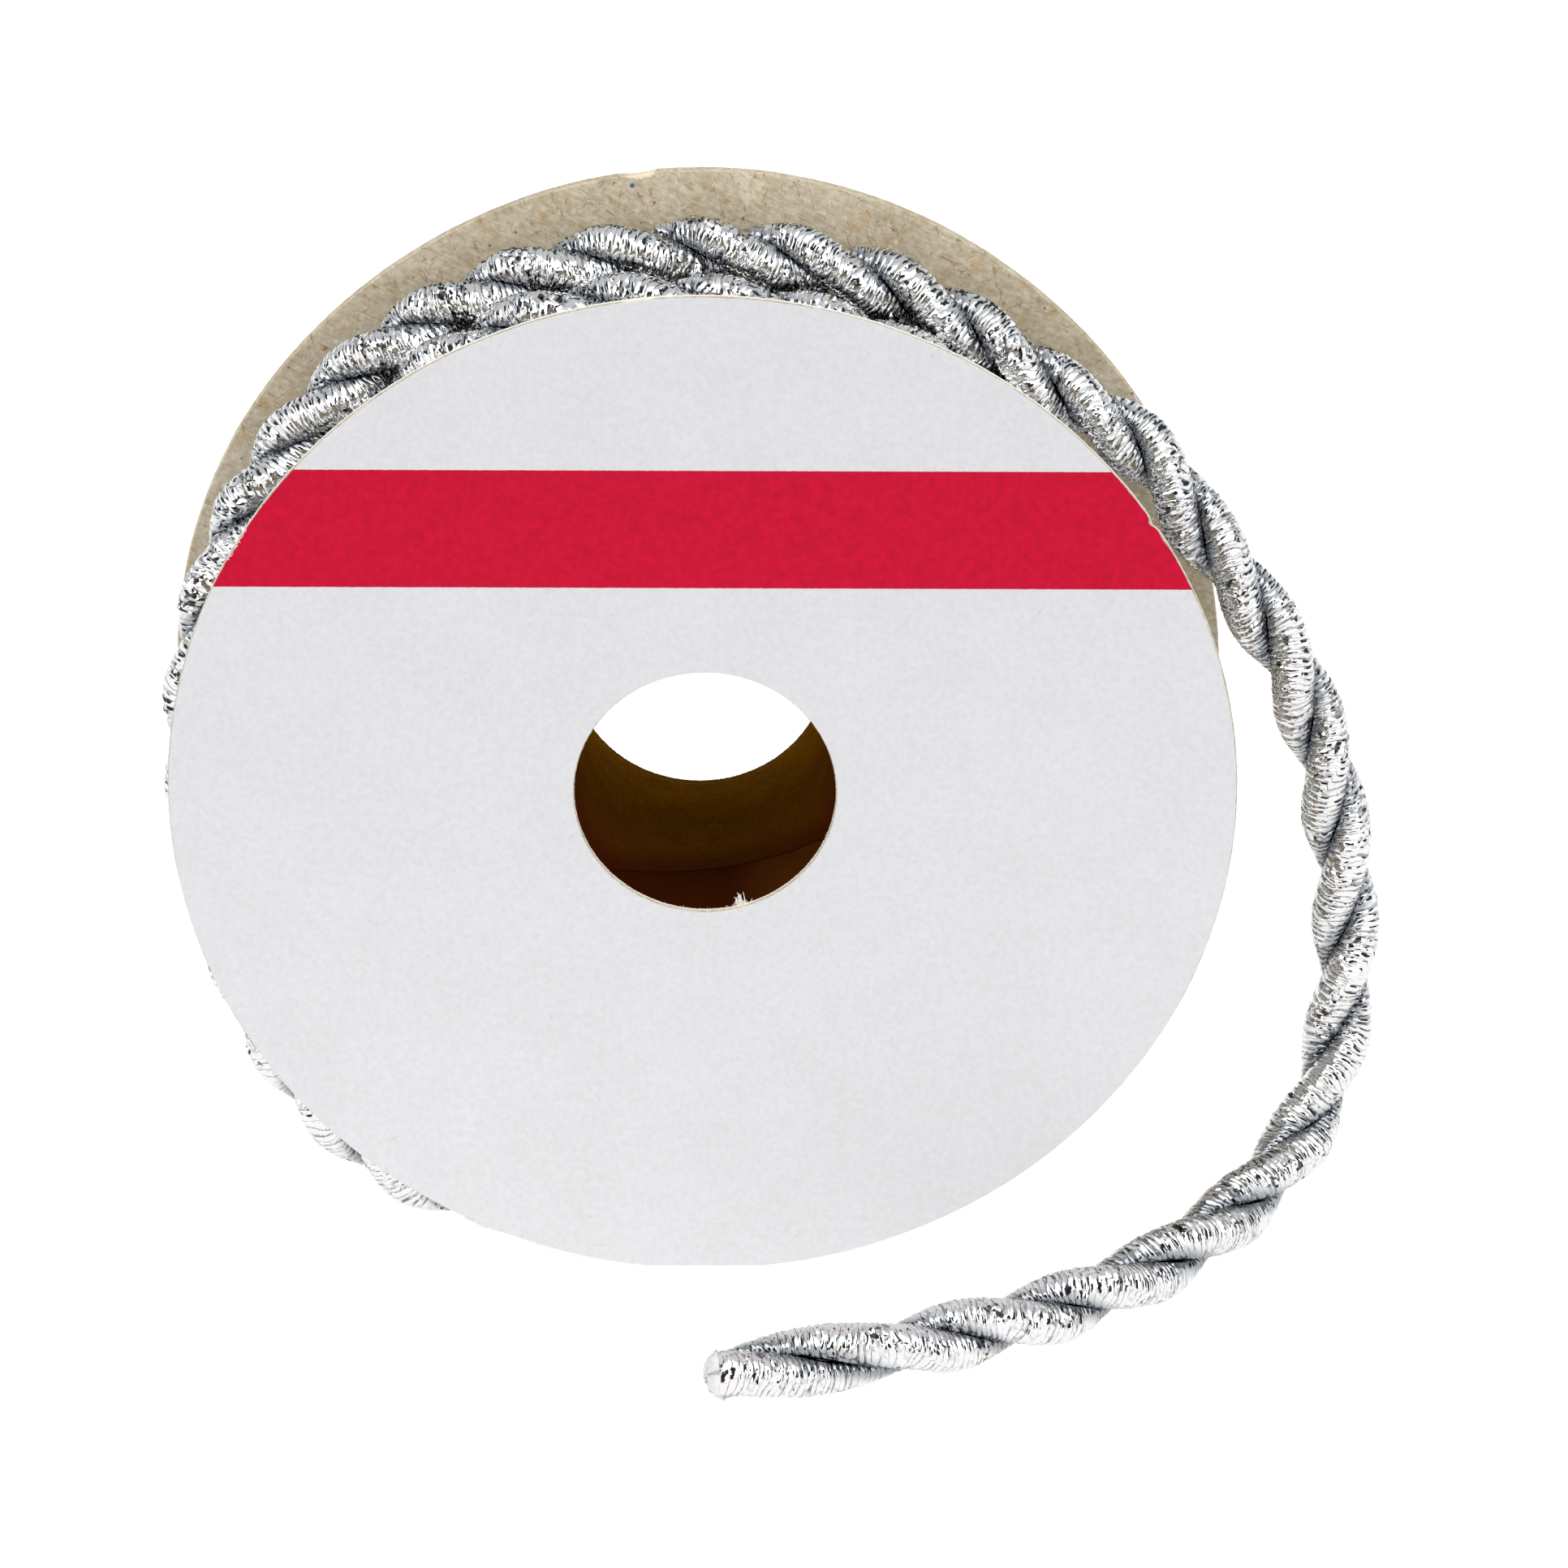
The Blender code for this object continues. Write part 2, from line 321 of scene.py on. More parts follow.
def shader_tree(name: str) -> tuple[bpy.types.Material, Tree]:
    """Return a new material and its empty tree."""
    material = bpy.data.materials.new(name)
    material.use_nodes = True
    return material, Tree(material.node_tree)


def finish_surface(tree: Tree, inputs: dict) -> None:
    """End a material's tree in a Principled shader with these inputs."""
    shader = tree.node("ShaderNodeBsdfPrincipled", None, inputs)
    tree.node("ShaderNodeOutputMaterial", None, {0: shader})


# Fibres that show in the board and the paper: millimetres along and across one,
# how far and how often it bends, its edge, how big the patches with fibres are
# and how soft their edge is
HAIR_LENGTH = 3.0
HAIR_WIDTH = 0.65
HAIR_BEND = 1.8
HAIR_BENDS_PER_MM = 0.5
HAIR_LINE = (0.020, 0.006)
HAIR_PATCHES = 1.3
HAIR_GATE_BLUR = 0.06


def stretched(tree: Tree, millimetres: Sock, turn: float, length: float,
              width: float) -> Sock:
    """Return flat coordinates, in X and Z, turned and pulled long one way.

    Args:
        tree: the tree to write in.
        millimetres: the place in millimetres.
        turn: the angle of the long way in radians.
        length: the size of a texture's unit along it in millimetres.
        width: its size across.
    """
    return tree.node("ShaderNodeMapping", {"vector_type": "TEXTURE"}, {
        "Vector": millimetres, "Rotation": (0.0, turn, 0.0), "Scale": (length, 1.0, width)})


def hairs(tree: Tree, millimetres: Sock, turn: float, gate: float) -> Sock:
    """Return a mask of thin curved fibres that lie mostly one way.

    Args:
        tree: the tree to write in.
        millimetres: the place in millimetres.
        turn: the angle they lie at in radians.
        gate: how few there are, from 0.4 to 0.7.
    """
    turned = stretched(tree, millimetres, turn, HAIR_LENGTH, HAIR_WIDTH)
    sway = tree.noise(millimetres, HAIR_BENDS_PER_MM, 1.0, 0.5, "Color")
    bent = tree.vector("ADD", turned, tree.vector("SCALE", sway, scale=HAIR_BEND))
    ridge = tree.noise(bent, 1.0, 0.0, 0.5)
    line = (ridge - 0.5).call("ABSOLUTE").ramp(*HAIR_LINE)
    patch = tree.noise(turned, HAIR_PATCHES, 1.0, 0.5)
    return line * patch.ramp(gate, gate + HAIR_GATE_BLUR)


@dataclass(frozen=True)
class FoilFinish:
    """Silver foil ribbon wound crosswise, each turn of it leaning and crumpled its own way."""

    name: str = "metallised_ribbon"
    bright: Colour = (0.84, 0.85, 0.865)
    warm: Colour = (0.84, 0.815, 0.785)
    line: Colour = (0.10, 0.11, 0.125)
    # Painted reflection: dark brown glints painted on some crushed facets; also the colour of
    # the real flecks in a cut end's filling
    dark_glint_and_fleck: Colour = (0.026, 0.017, 0.014)
    # Painted shade: dark blue-grey where the plies touch and on a ply's side towards the other
    # ply
    painted_crease_shade: Colour = (0.145, 0.165, 0.19)
    filling: Colour = (0.80, 0.80, 0.79)
    line_width: float = 0.10
    line_core: float = 0.02
    line_share: float = 0.8
    lined_tones: tuple[float, float] = (0.38, 0.58)
    pleats: float = 1.0
    pleats_round: float = 0.75
    pleat_jump: float = 3.7
    facets_per_mm: float = 2.8
    crushed_per_mm: float = 0.45
    crushed_range: tuple[float, float] = (0.50, 0.63)
    crushed_at_cut: float = 0.5
    strip_lean: float = 0.60
    curl: float = 0.75
    pleat_lean: float = 1.00
    pleat_roll: float = 0.75
    facet_lean: float = 0.95
    facet_roll: float = 1.10
    neat_share: float = 0.18
    warm_share: float = 0.8
    # Share of crushed facets that get painted dark glints, and how dark they are
    glint_share: float = 0.10
    glint_depth: float = 0.9
    # Where the painted crease shade falls: by openness, and by how far out a point stands
    touch_shade_range: tuple[float, float] = (0.85, 0.1)
    crease_shade_range: tuple[float, float] = (0.50, -0.30)
    crease_shade_share: float = 0.75
    fleck_share: float = 0.10
    fleck_depth: float = 0.4
    smooth: float = 0.05
    dull: float = 0.13
    filling_dull: float = 0.8

    def build(self) -> bpy.types.Material:
        """Return the material."""
        material, tree = shader_tree(self.name)
        lay = tree.attribute("lay", "Vector")
        axis = tree.attribute("axis", "Vector")
        strip = tree.attribute("strip")
        open_side = tree.attribute("open_side")
        cut = tree.attribute("cut")
        outwards = tree.attribute("outwards")
        number = strip.call("FLOOR")
        part = strip - number
        chance = tree.node("ShaderNodeTexWhiteNoise", {"noise_dimensions": "1D"}, {"W": number})
        across, sideways, _ = tree.xyz(lay)
        pleated = tree.node("ShaderNodeCombineXYZ", None, {
            0: across * self.pleats_round, 1: sideways * self.pleats_round,
            2: strip * self.pleats + number * self.pleat_jump})
        pleat, pleat_turn, tone = tree.xyz(tree.noise(pleated, 1.0, 1.0, 0.5, "Color"))
        crushed = tree.noise(lay, self.crushed_per_mm, 1.0).ramp(*self.crushed_range)
        crushed = self.neat_share + (1.0 - self.neat_share) * crushed
        first, second, third = tree.xyz(tree.voronoi(lay, self.facets_per_mm))
        crushed = crushed * (1.0 - cut * self.crushed_at_cut)
        lean = ((chance - 0.5) * self.strip_lean + (pleat - 0.5) * self.pleat_lean
                + (part - 0.5) * self.curl + (first - 0.5) * crushed * self.facet_lean)
        roll = ((pleat_turn - 0.5) * self.pleat_roll
                + (second - 0.5) * crushed * self.facet_roll)
        normal = tree.node("ShaderNodeNewGeometry", None, None, "Normal")
        around = tree.vector("CROSS_PRODUCT", normal, axis)
        normal = tree.vector("ADD", normal, tree.vector("SCALE", axis, scale=lean))
        normal = tree.vector("ADD", normal, tree.vector("SCALE", around, scale=roll))
        normal = tree.vector("NORMALIZE", normal)
        colour = tree.mix(third * self.warm_share, self.bright, self.warm)
        # Painted reflection: some crushed facets are painted dark brown, as dark glints
        painted_glint = (second < self.glint_share) * crushed * self.glint_depth
        colour = tree.mix(painted_glint, colour, self.dark_glint_and_fleck)
        border = 0.5 - (part - 0.5).call("ABSOLUTE")
        line = border.ramp(self.line_width, self.line_core) * tone.ramp(*self.lined_tones)
        colour = tree.mix(line * self.line_share, colour, self.line)
        # Painted shade: darker blue-grey where the plies touch and on each ply's side towards
        # the other ply
        crease = open_side.ramp(*self.touch_shade_range).call(
            "MAXIMUM", outwards.ramp(*self.crease_shade_range) * self.crease_shade_share)
        colour = tree.mix(crease, colour, self.painted_crease_shade)
        flecks = (first < self.fleck_share) * self.fleck_depth
        filling = tree.mix(flecks, self.filling, self.dark_glint_and_fleck)
        colour = tree.mix(cut, colour, filling)
        finish_surface(tree, {
            "Base Color": colour,
            "Metallic": 1.0 - cut,
            "Roughness": (self.smooth + (self.dull - self.smooth) * third
                          + cut * self.filling_dull),
            "Normal": normal,
        })
        return material


@dataclass(frozen=True)
class ChipboardFinish:
    """Grey-brown board with brown fibres, dark specks and light flecks."""

    name: str = "grey_chipboard"
    ground: Colour = (0.38, 0.305, 0.190)
    pale: Colour = (0.77, 0.695, 0.545)
    fibre: Colour = (0.29, 0.145, 0.052)
    rust: Colour = (0.54, 0.34, 0.15)
    speck: Colour = (0.10, 0.07, 0.05)
    fleck: Colour = (0.90, 0.84, 0.73)
    torn: Colour = (0.92, 0.80, 0.60)
    stain: Colour = (0.10, 0.14, 0.24)
    stain_place: tuple[float, float, float] = (-0.0051, 0.0, 0.0748)
    stain_size: float = 0.00024
    torn_place: tuple[float, float, float] = (-0.0046, 0.0, 0.0757)
    torn_size: tuple[float, float, float] = (0.0012, 1.0, 0.00040)
    torn_raggedness: float = 1.6
    hair_turns: tuple[tuple[float, float], ...] = (
        (0.4, 0.65), (1.2, 0.5), (1.9, 0.4), (2.6, 0.55))
    hair_gate: float = 0.56
    tone_range: tuple[float, float] = (0.3, 0.7)
    streak_turn: float = 0.45
    streak_length: float = 1.1
    streak_width: float = 0.25
    cloud_share: float = 0.25
    grain_share: float = 0.40
    streak_share: float = 0.35
    rust_range: tuple[float, float] = (0.56, 0.72)
    rust_share: float = 0.5
    spots_per_mm: float = 1.1
    speck_range: tuple[float, float] = (0.17, 0.06)
    speck_few: float = 0.16
    speck_share: float = 0.8
    fleck_range: tuple[float, float] = (0.30, 0.10)
    fleck_few: float = 0.14
    fleck_share: float = 0.35
    dull: float = 0.92

    def build(self) -> bpy.types.Material:
        """Return the material."""
        material, tree = shader_tree(self.name)
        place = tree.node("ShaderNodeTexCoord", None, None, "Object")
        millimetres = tree.vector("SCALE", place, scale=PER_MM)
        cloud = tree.noise(millimetres, 0.25, 3.0, 0.6)
        grain = tree.noise(millimetres, 2.0, 5.0, 0.7)
        streaks = tree.noise(stretched(tree, millimetres, self.streak_turn, self.streak_length,
                                       self.streak_width), 1.0, 4.0, 0.65)
        tone = (cloud.ramp(*self.tone_range) * self.cloud_share
                + grain.ramp(*self.tone_range) * self.grain_share
                + streaks.ramp(*self.tone_range) * self.streak_share)
        colour = tree.mix(tone, self.ground, self.pale)
        rusty = tree.noise(millimetres, 0.8, 3.0, 0.6)
        colour = tree.mix(rusty.ramp(*self.rust_range) * self.rust_share, colour, self.rust)
        for turn, share in self.hair_turns:
            hair = hairs(tree, millimetres, turn, self.hair_gate) * share
            colour = tree.mix(hair, colour, self.fibre)
        cells = tree.vector("SCALE", millimetres, scale=self.spots_per_mm)
        near = tree.voronoi(cells, 1.0, "Distance")
        chosen, other, _ = tree.xyz(tree.voronoi(cells, 1.0))
        speck = near.ramp(*self.speck_range) * (chosen < self.speck_few) * self.speck_share
        colour = tree.mix(speck, colour, self.speck)
        fleck = near.ramp(*self.fleck_range) * (other < self.fleck_few) * self.fleck_share
        colour = tree.mix(fleck, colour, self.fleck)
        face = tree.vector("MULTIPLY", place, (1.0, 0.0, 1.0))
        off = tree.vector("DIVIDE", tree.vector("SUBTRACT", face, self.torn_place),
                          self.torn_size)
        apart = tree.vector("LENGTH", off, out="Value")
        apart = apart + (grain - 0.5) * self.torn_raggedness
        colour = tree.mix(apart.ramp(1.05, 0.8), colour, self.torn)
        apart = tree.vector("DISTANCE", face, self.stain_place, out="Value")
        colour = tree.mix(apart.ramp(self.stain_size, self.stain_size * 0.5), colour, self.stain)
        height = grain * 0.6 + cloud * 0.2
        bump = tree.node("ShaderNodeBump", None,
                         {"Strength": 0.35, "Distance": 0.0001, "Height": height})
        finish_surface(tree, {"Base Color": colour, "Roughness": self.dull, "Normal": bump,
                              "Specular IOR Level": 0.2})
        return material


@dataclass(frozen=True)
class PrintedPaperFinish:
    """Off-white paper with a plain red band across it."""

    name: str = "printed_paper"
    white: Colour = (0.71, 0.70, 0.715)
    shade: Colour = (0.64, 0.635, 0.64)
    red: Colour = (0.60, 0.0034, 0.036)
    deep_red: Colour = (0.48, 0.0026, 0.026)
    speck: Colour = (0.40, 0.36, 0.34)
    band_low: float = 0.0538
    band_high: float = 0.0628
    edge_blur: float = 0.00003
    band_slope: float = 0.0035
    band_middle: float = -0.020
    edge_stray: float = 0.00006
    grain_share: float = 0.80
    cloud_share: float = 0.20
    spots_per_mm: float = 0.6
    speck_range: tuple[float, float] = (0.055, 0.02)
    speck_few: float = 0.3
    speck_share: float = 0.4
    hair_turn: float = 2.4
    hair_gate: float = 0.66
    hair_share: float = 0.18
    dull: float = 0.62

    def build(self) -> bpy.types.Material:
        """Return the material."""
        material, tree = shader_tree(self.name)
        place = tree.node("ShaderNodeTexCoord", None, None, "Object")
        millimetres = tree.vector("SCALE", place, scale=PER_MM)
        grain = tree.noise(millimetres, 2.2, 4.0, 0.75)
        cloud = tree.noise(millimetres, 0.16, 3.0, 0.5)
        mottle = (grain.ramp(0.32, 0.70) * self.grain_share
                  + cloud.ramp(0.3, 0.7) * self.cloud_share)
        paper = tree.mix(mottle, self.white, self.shade)
        near = tree.voronoi(millimetres, self.spots_per_mm, "Distance")
        chosen, _, _ = tree.xyz(tree.voronoi(millimetres, self.spots_per_mm))
        speck = near.ramp(*self.speck_range) * (chosen < self.speck_few) * self.speck_share
        paper = tree.mix(speck, paper, self.speck)
        hair = hairs(tree, millimetres, self.hair_turn, self.hair_gate) * self.hair_share
        paper = tree.mix(hair, paper, self.speck)
        dots = tree.noise(millimetres, 1.6, 4.0, 0.75)
        ink = tree.mix(dots.ramp(0.3, 0.7), self.red, self.deep_red)
        sideways, _, height = tree.xyz(place)
        height = height + (tree.noise(millimetres, 3.0) - 0.5) * self.edge_stray
        height = height + (sideways - self.band_middle) * self.band_slope
        above = height.ramp(self.band_low - self.edge_blur, self.band_low + self.edge_blur)
        below = height.ramp(self.band_high + self.edge_blur, self.band_high - self.edge_blur)
        colour = tree.mix(above * below, paper, ink)
        bump = tree.node("ShaderNodeBump", None,
                         {"Strength": 0.25, "Distance": 0.00005, "Height": grain})
        finish_surface(tree, {"Base Color": colour, "Roughness": self.dull, "Normal": bump,
                              "Specular IOR Level": 0.12})
        return material


@dataclass(frozen=True)
class CoreBoardFinish:
    """Dark brown paper tube with a spiral of wound strips, and painted shade inside it."""

    name: str = "brown_core"
    # Painted shade: the wall is darker at the front of the tube than at the back
    near: Colour = (0.070, 0.0150, 0.0024)
    far: Colour = (0.250, 0.1050, 0.0046)
    # Below the seam the wall takes these colours, with painted shade darker towards the left
    ledge: Colour = (0.066, 0.0200, 0.0024)
    shaded_ledge: Colour = (0.040, 0.0085, 0.0016)
    # Painted shadow above the seam; also the colour of the dark seam line and of the mottle
    crease: Colour = (0.030, 0.0050, 0.0016)
    seam_peak: float = -0.0044
    seam_angle: float = -1.40
    seam_drop: float = 0.0068
    seam_stray: float = 0.0012
    seam_blur: float = 0.0001
    ledge_shade_range: tuple[float, float] = (0.0015, 0.0055)
    shadow_range: tuple[float, float] = (0.0048, 0.0001)
    shadow_share: float = 0.6
    groove_range: tuple[float, float] = (0.00028, 0.00006)
    groove_share: float = 0.9
    dull: float = 0.85

    def build(self) -> bpy.types.Material:
        """Return the material."""
        material, tree = shader_tree(self.name)
        place = tree.node("ShaderNodeTexCoord", None, None, "Object")
        millimetres = tree.vector("SCALE", place, scale=PER_MM)
        cloud = tree.noise(millimetres, 0.35, 4.0, 0.6)
        grain = tree.noise(millimetres, 3.0, 3.0, 0.6)
        across, along, up = tree.xyz(place)
        angle = (up - AXLE_HEIGHT).call("ARCTAN2", across)
        off = angle - self.seam_angle
        seam = along - self.seam_peak + off * off * self.seam_drop
        seam = seam + (cloud - 0.5) * self.seam_stray
        ledge = seam.ramp(self.seam_blur, -self.seam_blur)
        # Painted shadow on the far side of the seam, fading away from it; the narrow groove at
        # the seam is the dark joint of the strips
        crease = seam.ramp(*self.shadow_range) * (1.0 - ledge) * self.shadow_share
        groove = seam.call("ABSOLUTE").ramp(*self.groove_range) * self.groove_share
        crease = crease.call("MAXIMUM", groove)
        # Painted shade: darker towards the front of the tube
        colour = tree.mix(along.ramp(FRONT_FACE, BACK_FACE), self.near, self.far)
        # Painted shade: the ledge below the seam is darker towards the left
        under = tree.mix(across.ramp(*self.ledge_shade_range), self.shaded_ledge, self.ledge)
        colour = tree.mix(ledge, colour, under)
        colour = tree.mix(crease, colour, self.crease)
        mottle = grain.ramp(0.35, 0.65) * 0.22 + cloud.ramp(0.35, 0.65) * 0.18
        colour = tree.mix(mottle, colour, self.crease)
        bump = tree.node("ShaderNodeBump", None,
                         {"Strength": 0.4, "Distance": 0.0001, "Height": grain - crease})
        finish_surface(tree, {"Base Color": colour, "Roughness": self.dull, "Normal": bump,
                              "Specular IOR Level": 0.0})
        return material


@dataclass(frozen=True)
class TornBoardFinish:
    """Pale torn fibres at the cut edges of the board."""

    name: str = "torn_fibres"
    pale: Colour = (0.97, 0.95, 0.91)
    brown: Colour = (0.95, 0.90, 0.82)

    def build(self) -> bpy.types.Material:
        """Return the material."""
        material, tree = shader_tree(self.name)
        place = tree.node("ShaderNodeTexCoord", None, None, "Object")
        tone = tree.noise(place, 900.0, 2.0)
        colour = tree.mix(tone.ramp(0.35, 0.65), self.pale, self.brown)
        finish_surface(tree, {"Base Color": colour, "Roughness": 0.95})
        return material


def mesh_from(name: str, verts: np.ndarray, faces: Sequence[Sequence[int]]) -> bpy.types.Mesh:
    """Return a mesh whose faces point outwards.

    Args:
        name: the mesh's name.
        verts: the points, one row each.
        faces: the corners of each face.

    Returns:
        The mesh, with its normals recalculated.
    """
    mesh = bpy.data.meshes.new(name)
    mesh.from_pydata(verts.tolist(), [], [list(f) for f in faces])
    work = bmesh.new()
    work.from_mesh(mesh)
    bmesh.ops.recalc_face_normals(work, faces=work.faces)
    work.to_mesh(mesh)
    work.free()
    return mesh


def band_faces(rings: int, sides: int, closed: bool = True) -> list[list[int]]:
    """Return the four-sided faces between rings of points, each ring and the next.

    Args:
        rings: how many rings there are.
        sides: points in each ring.
        closed: whether the last ring meets the first.
    """
    step = np.arange(sides)
    following = (step + 1) % sides
    last = rings if closed else rings - 1
    here = np.arange(last)[:, None] * sides
    there = (np.arange(1, last + 1) % rings)[:, None] * sides
    quads = np.stack([here + step, here + following, there + following, there + step], axis=2)
    return quads.reshape(-1, 4).tolist()


def link_piece(name: str, mesh: bpy.types.Mesh) -> bpy.types.Object:
    """Return a new object of the mesh, linked to the scene at the origin."""
    piece = bpy.data.objects.new(name, mesh)
    bpy.context.scene.collection.objects.link(piece)
    return piece


def hand_in(piece: bpy.types.Object, slot: Slot, nodes: Sequence[str] = ()) -> None:
    """Ride a finished piece on the part, hide the CAD nodes that it stands for and log its slot.

    Args:
        piece: the finished object, at the origin.
        slot: the record's material slot.
        nodes: the CAD nodes that it stands for.
    """
    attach(piece, "root")
    if nodes:
        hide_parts(*nodes)
    triangles = sum(len(p.vertices) - 2 for p in piece.data.polygons)
    LOG.info("%s: %d triangles, %s", piece.name, triangles, slot.value)


def run_tree(piece: bpy.types.Object, tree: bpy.types.NodeTree, values: dict) -> None:
    """Run a Geometry Nodes tree on a piece and keep its result as a plain mesh.

    Args:
        piece: the object whose mesh is the tree's first input.
        tree: the Geometry Nodes tree.
        values: the values of the tree's named inputs.
    """
    sockets = {s.name: s.identifier for s in tree.interface.items_tree if s.in_out == "INPUT"}
    modifier = piece.modifiers.new(tree.name, "NODES")
    modifier.node_group = tree
    for name, value in values.items():
        modifier[sockets[name]] = value
    evaluated = piece.evaluated_get(bpy.context.evaluated_depsgraph_get())
    made = bpy.data.meshes.new_from_object(evaluated)
    piece.modifiers.remove(modifier)
    old = piece.data
    piece.data = made
    bpy.data.meshes.remove(old)


def new_group(name: str, sizes: dict[str, float]) -> tuple[bpy.types.NodeTree, Tree, Sock]:
    """Return an empty Geometry Nodes tree with named number inputs.

    Args:
        name: the tree's name.
        sizes: the named inputs and their starting values.

    Returns:
        The tree, its writer and its first group input, the geometry.
    """
    group = bpy.data.node_groups.new(name, "GeometryNodeTree")
    face = group.interface
    face.new_socket("Geometry", in_out="INPUT", socket_type="NodeSocketGeometry")
    face.new_socket("Geometry", in_out="OUTPUT", socket_type="NodeSocketGeometry")
    for title, value in sizes.items():
        socket = face.new_socket(title, in_out="INPUT", socket_type="NodeSocketFloat")
        socket.default_value = value
    face.new_socket("Material", in_out="INPUT", socket_type="NodeSocketMaterial")
    tree = Tree(group)
    return group, tree, tree.node("NodeGroupInput")


def close_group(tree: Tree, given: Sock, geometry: Sock) -> None:
    """End a Geometry Nodes tree in Realize Instances and Set Material."""
    material = Sock(tree, given.socket.node.outputs["Material"])
    geometry = tree.node("GeometryNodeRealizeInstances", None, {"Geometry": geometry})
    geometry = tree.node("GeometryNodeSetMaterial", None,
                         {"Geometry": geometry, "Material": material})
    tree.node("NodeGroupOutput", None, {0: geometry})


class RibbonWrap:
    """The narrow foil ribbon wound crosswise round a ply, as a Geometry Nodes tree."""

    strays_per_mm: float = 0.33
    groove_sharpness: float = 5.0
    crumples_per_mm: tuple[float, float, float] = (0.9, 0.9, 2.0)
    seed_step: float = 1.37
    strips_apart: float = 17.0

    def __init__(self) -> None:
        """Build the tree. Its lengths are millimetres."""
        self.group, tree, given = new_group("ribbon_wrap", {
            "Pitch": 0.46, "Groove": 0.08, "Lean": 0.34, "Slant": 1.0, "Wander": 0.8,
            "Crumple": 0.045, "Seed": 1.0})
        sizes = {s.name: Sock(tree, s) for s in given.socket.node.outputs if s.name}
        lay = tree.stored("lay", "FLOAT_VECTOR")
        open_side = tree.stored("open_side", "FLOAT")
        shifted = tree.vector("ADD", lay, tree.node(
            "ShaderNodeCombineXYZ", None, {0: sizes["Seed"], 1: sizes["Seed"], 2: 0.0}))
        across, sideways, along = tree.xyz(lay)
        around = sideways.call("ARCTAN2", across) / (2 * math.pi)
        stray = tree.noise(shifted, self.strays_per_mm, 1.0, 0.5) - 0.5
        stray = stray * 2.0 * sizes["Wander"]
        count = (along + stray) / sizes["Pitch"] + around * sizes["Slant"]
        number = count.call("FLOOR")
        part = count - number - 0.5
        chance = tree.node("ShaderNodeTexWhiteNoise", {"noise_dimensions": "1D"},
                           {"W": number * self.seed_step + sizes["Seed"]})
        groove = (part * 2.0).call("ABSOLUTE") ** self.groove_sharpness * sizes["Groove"]
        lean = (chance - 0.5) * 2.0 * sizes["Lean"] * sizes["Pitch"] * part
        squeezed = tree.vector("MULTIPLY", shifted, self.crumples_per_mm)
        crumple = (tree.noise(squeezed, 1.0, 3.0, 0.6) - 0.5) * 2.0 * sizes["Crumple"]
        normal = tree.node("GeometryNodeInputNormal")
        rise = (lean - groove + crumple) * open_side * MM
        geometry = tree.node("GeometryNodeSetPosition", None, {
            "Geometry": given, "Offset": tree.vector("SCALE", normal, scale=rise)})
        geometry = tree.node("GeometryNodeStoreNamedAttribute",
                             {"data_type": "FLOAT", "domain": "POINT"},
                             {"Geometry": geometry, "Name": "strip",
                              "Value": count + sizes["Seed"] * self.strips_apart})
        close_group(tree, given, geometry)


@dataclass
class CordRoute:
    """The middle line of the slack last turn and of the loose end."""

    samples: int = 9000
    tangent_step: float = 0.0002
    curve: np.ndarray = field(init=False)
    run: np.ndarray = field(init=False)
    exit_at: float = field(init=False)

    def __post_init__(self) -> None:
        """Lay a natural cubic curve through the route's points."""
        points = []
        for angle, radius, y in LAST_TURN:
            turn = math.radians(angle)
            points.append((radius * math.cos(turn), y, AXLE_HEIGHT + radius * math.sin(turn)))
        self.curve = self._smooth(np.array(points + list(LOOSE_END)))
        steps = np.linalg.norm(np.diff(self.curve, axis=0), axis=1)
        self.run = np.concatenate([[0.0], np.cumsum(steps)])
        apart = np.linalg.norm(self.curve - np.array(LOOSE_END[0]), axis=1)
        self.exit_at = float(self.run[np.argmin(apart)])

    def _smooth(self, points: np.ndarray) -> np.ndarray:
        """Return points on a natural cubic curve through the given ones."""
        step = np.linalg.norm(np.diff(points, axis=0), axis=1)
        count = len(points)
        system = np.zeros((count, count))
        right = np.zeros((count, 3))
        system[0, 0] = system[-1, -1] = 1.0
        for i in range(1, count - 1):
            system[i, i - 1:i + 2] = step[i - 1], 2 * (step[i - 1] + step[i]), step[i]
            right[i] = 6 * ((points[i + 1] - points[i]) / step[i]
                            - (points[i] - points[i - 1]) / step[i - 1])
        bend = np.linalg.solve(system, right)
        knots = np.concatenate([[0.0], np.cumsum(step)])
        where = np.linspace(0.0, knots[-1], self.samples)
        piece = np.clip(np.searchsorted(knots, where, side="right") - 1, 0, count - 2)
        size = step[piece][:, None]
        before = where[:, None] - knots[piece][:, None]
        after = size - before
        curve = (bend[piece] * after**3 + bend[piece + 1] * before**3) / (6 * size)
        curve += (points[piece] / size - bend[piece] * size / 6) * after
        return curve + (points[piece + 1] / size - bend[piece + 1] * size / 6) * before

    @property
    def end_at(self) -> float:
        """The distance of the cut end."""
        return float(self.run[-1])

    def at(self, distances: np.ndarray) -> np.ndarray:
        """Return the points at distances along the middle line."""
        return np.stack([np.interp(distances, self.run, self.curve[:, k]) for k in range(3)], 1)

    def stacking(self, distances: np.ndarray) -> np.ndarray:
        """Return the direction from the second ply to the first at each distance.

        At a whole half twist, the plies lie behind each other as the camera sees them.
        """
        ahead = self.at(distances + self.tangent_step)
        tangent = unit(ahead - self.at(distances - self.tangent_step))
        facing = np.array(TWIST_FACING)
        front = unit(facing - tangent * (tangent @ facing)[:, None])
        side = np.cross(tangent, front)
        table = np.array(TWIST)
        turn = np.pi * np.interp(distances - self.exit_at, table[:, 0], table[:, 1])
        return np.cos(turn)[:, None] * front + np.sin(turn)[:, None] * side


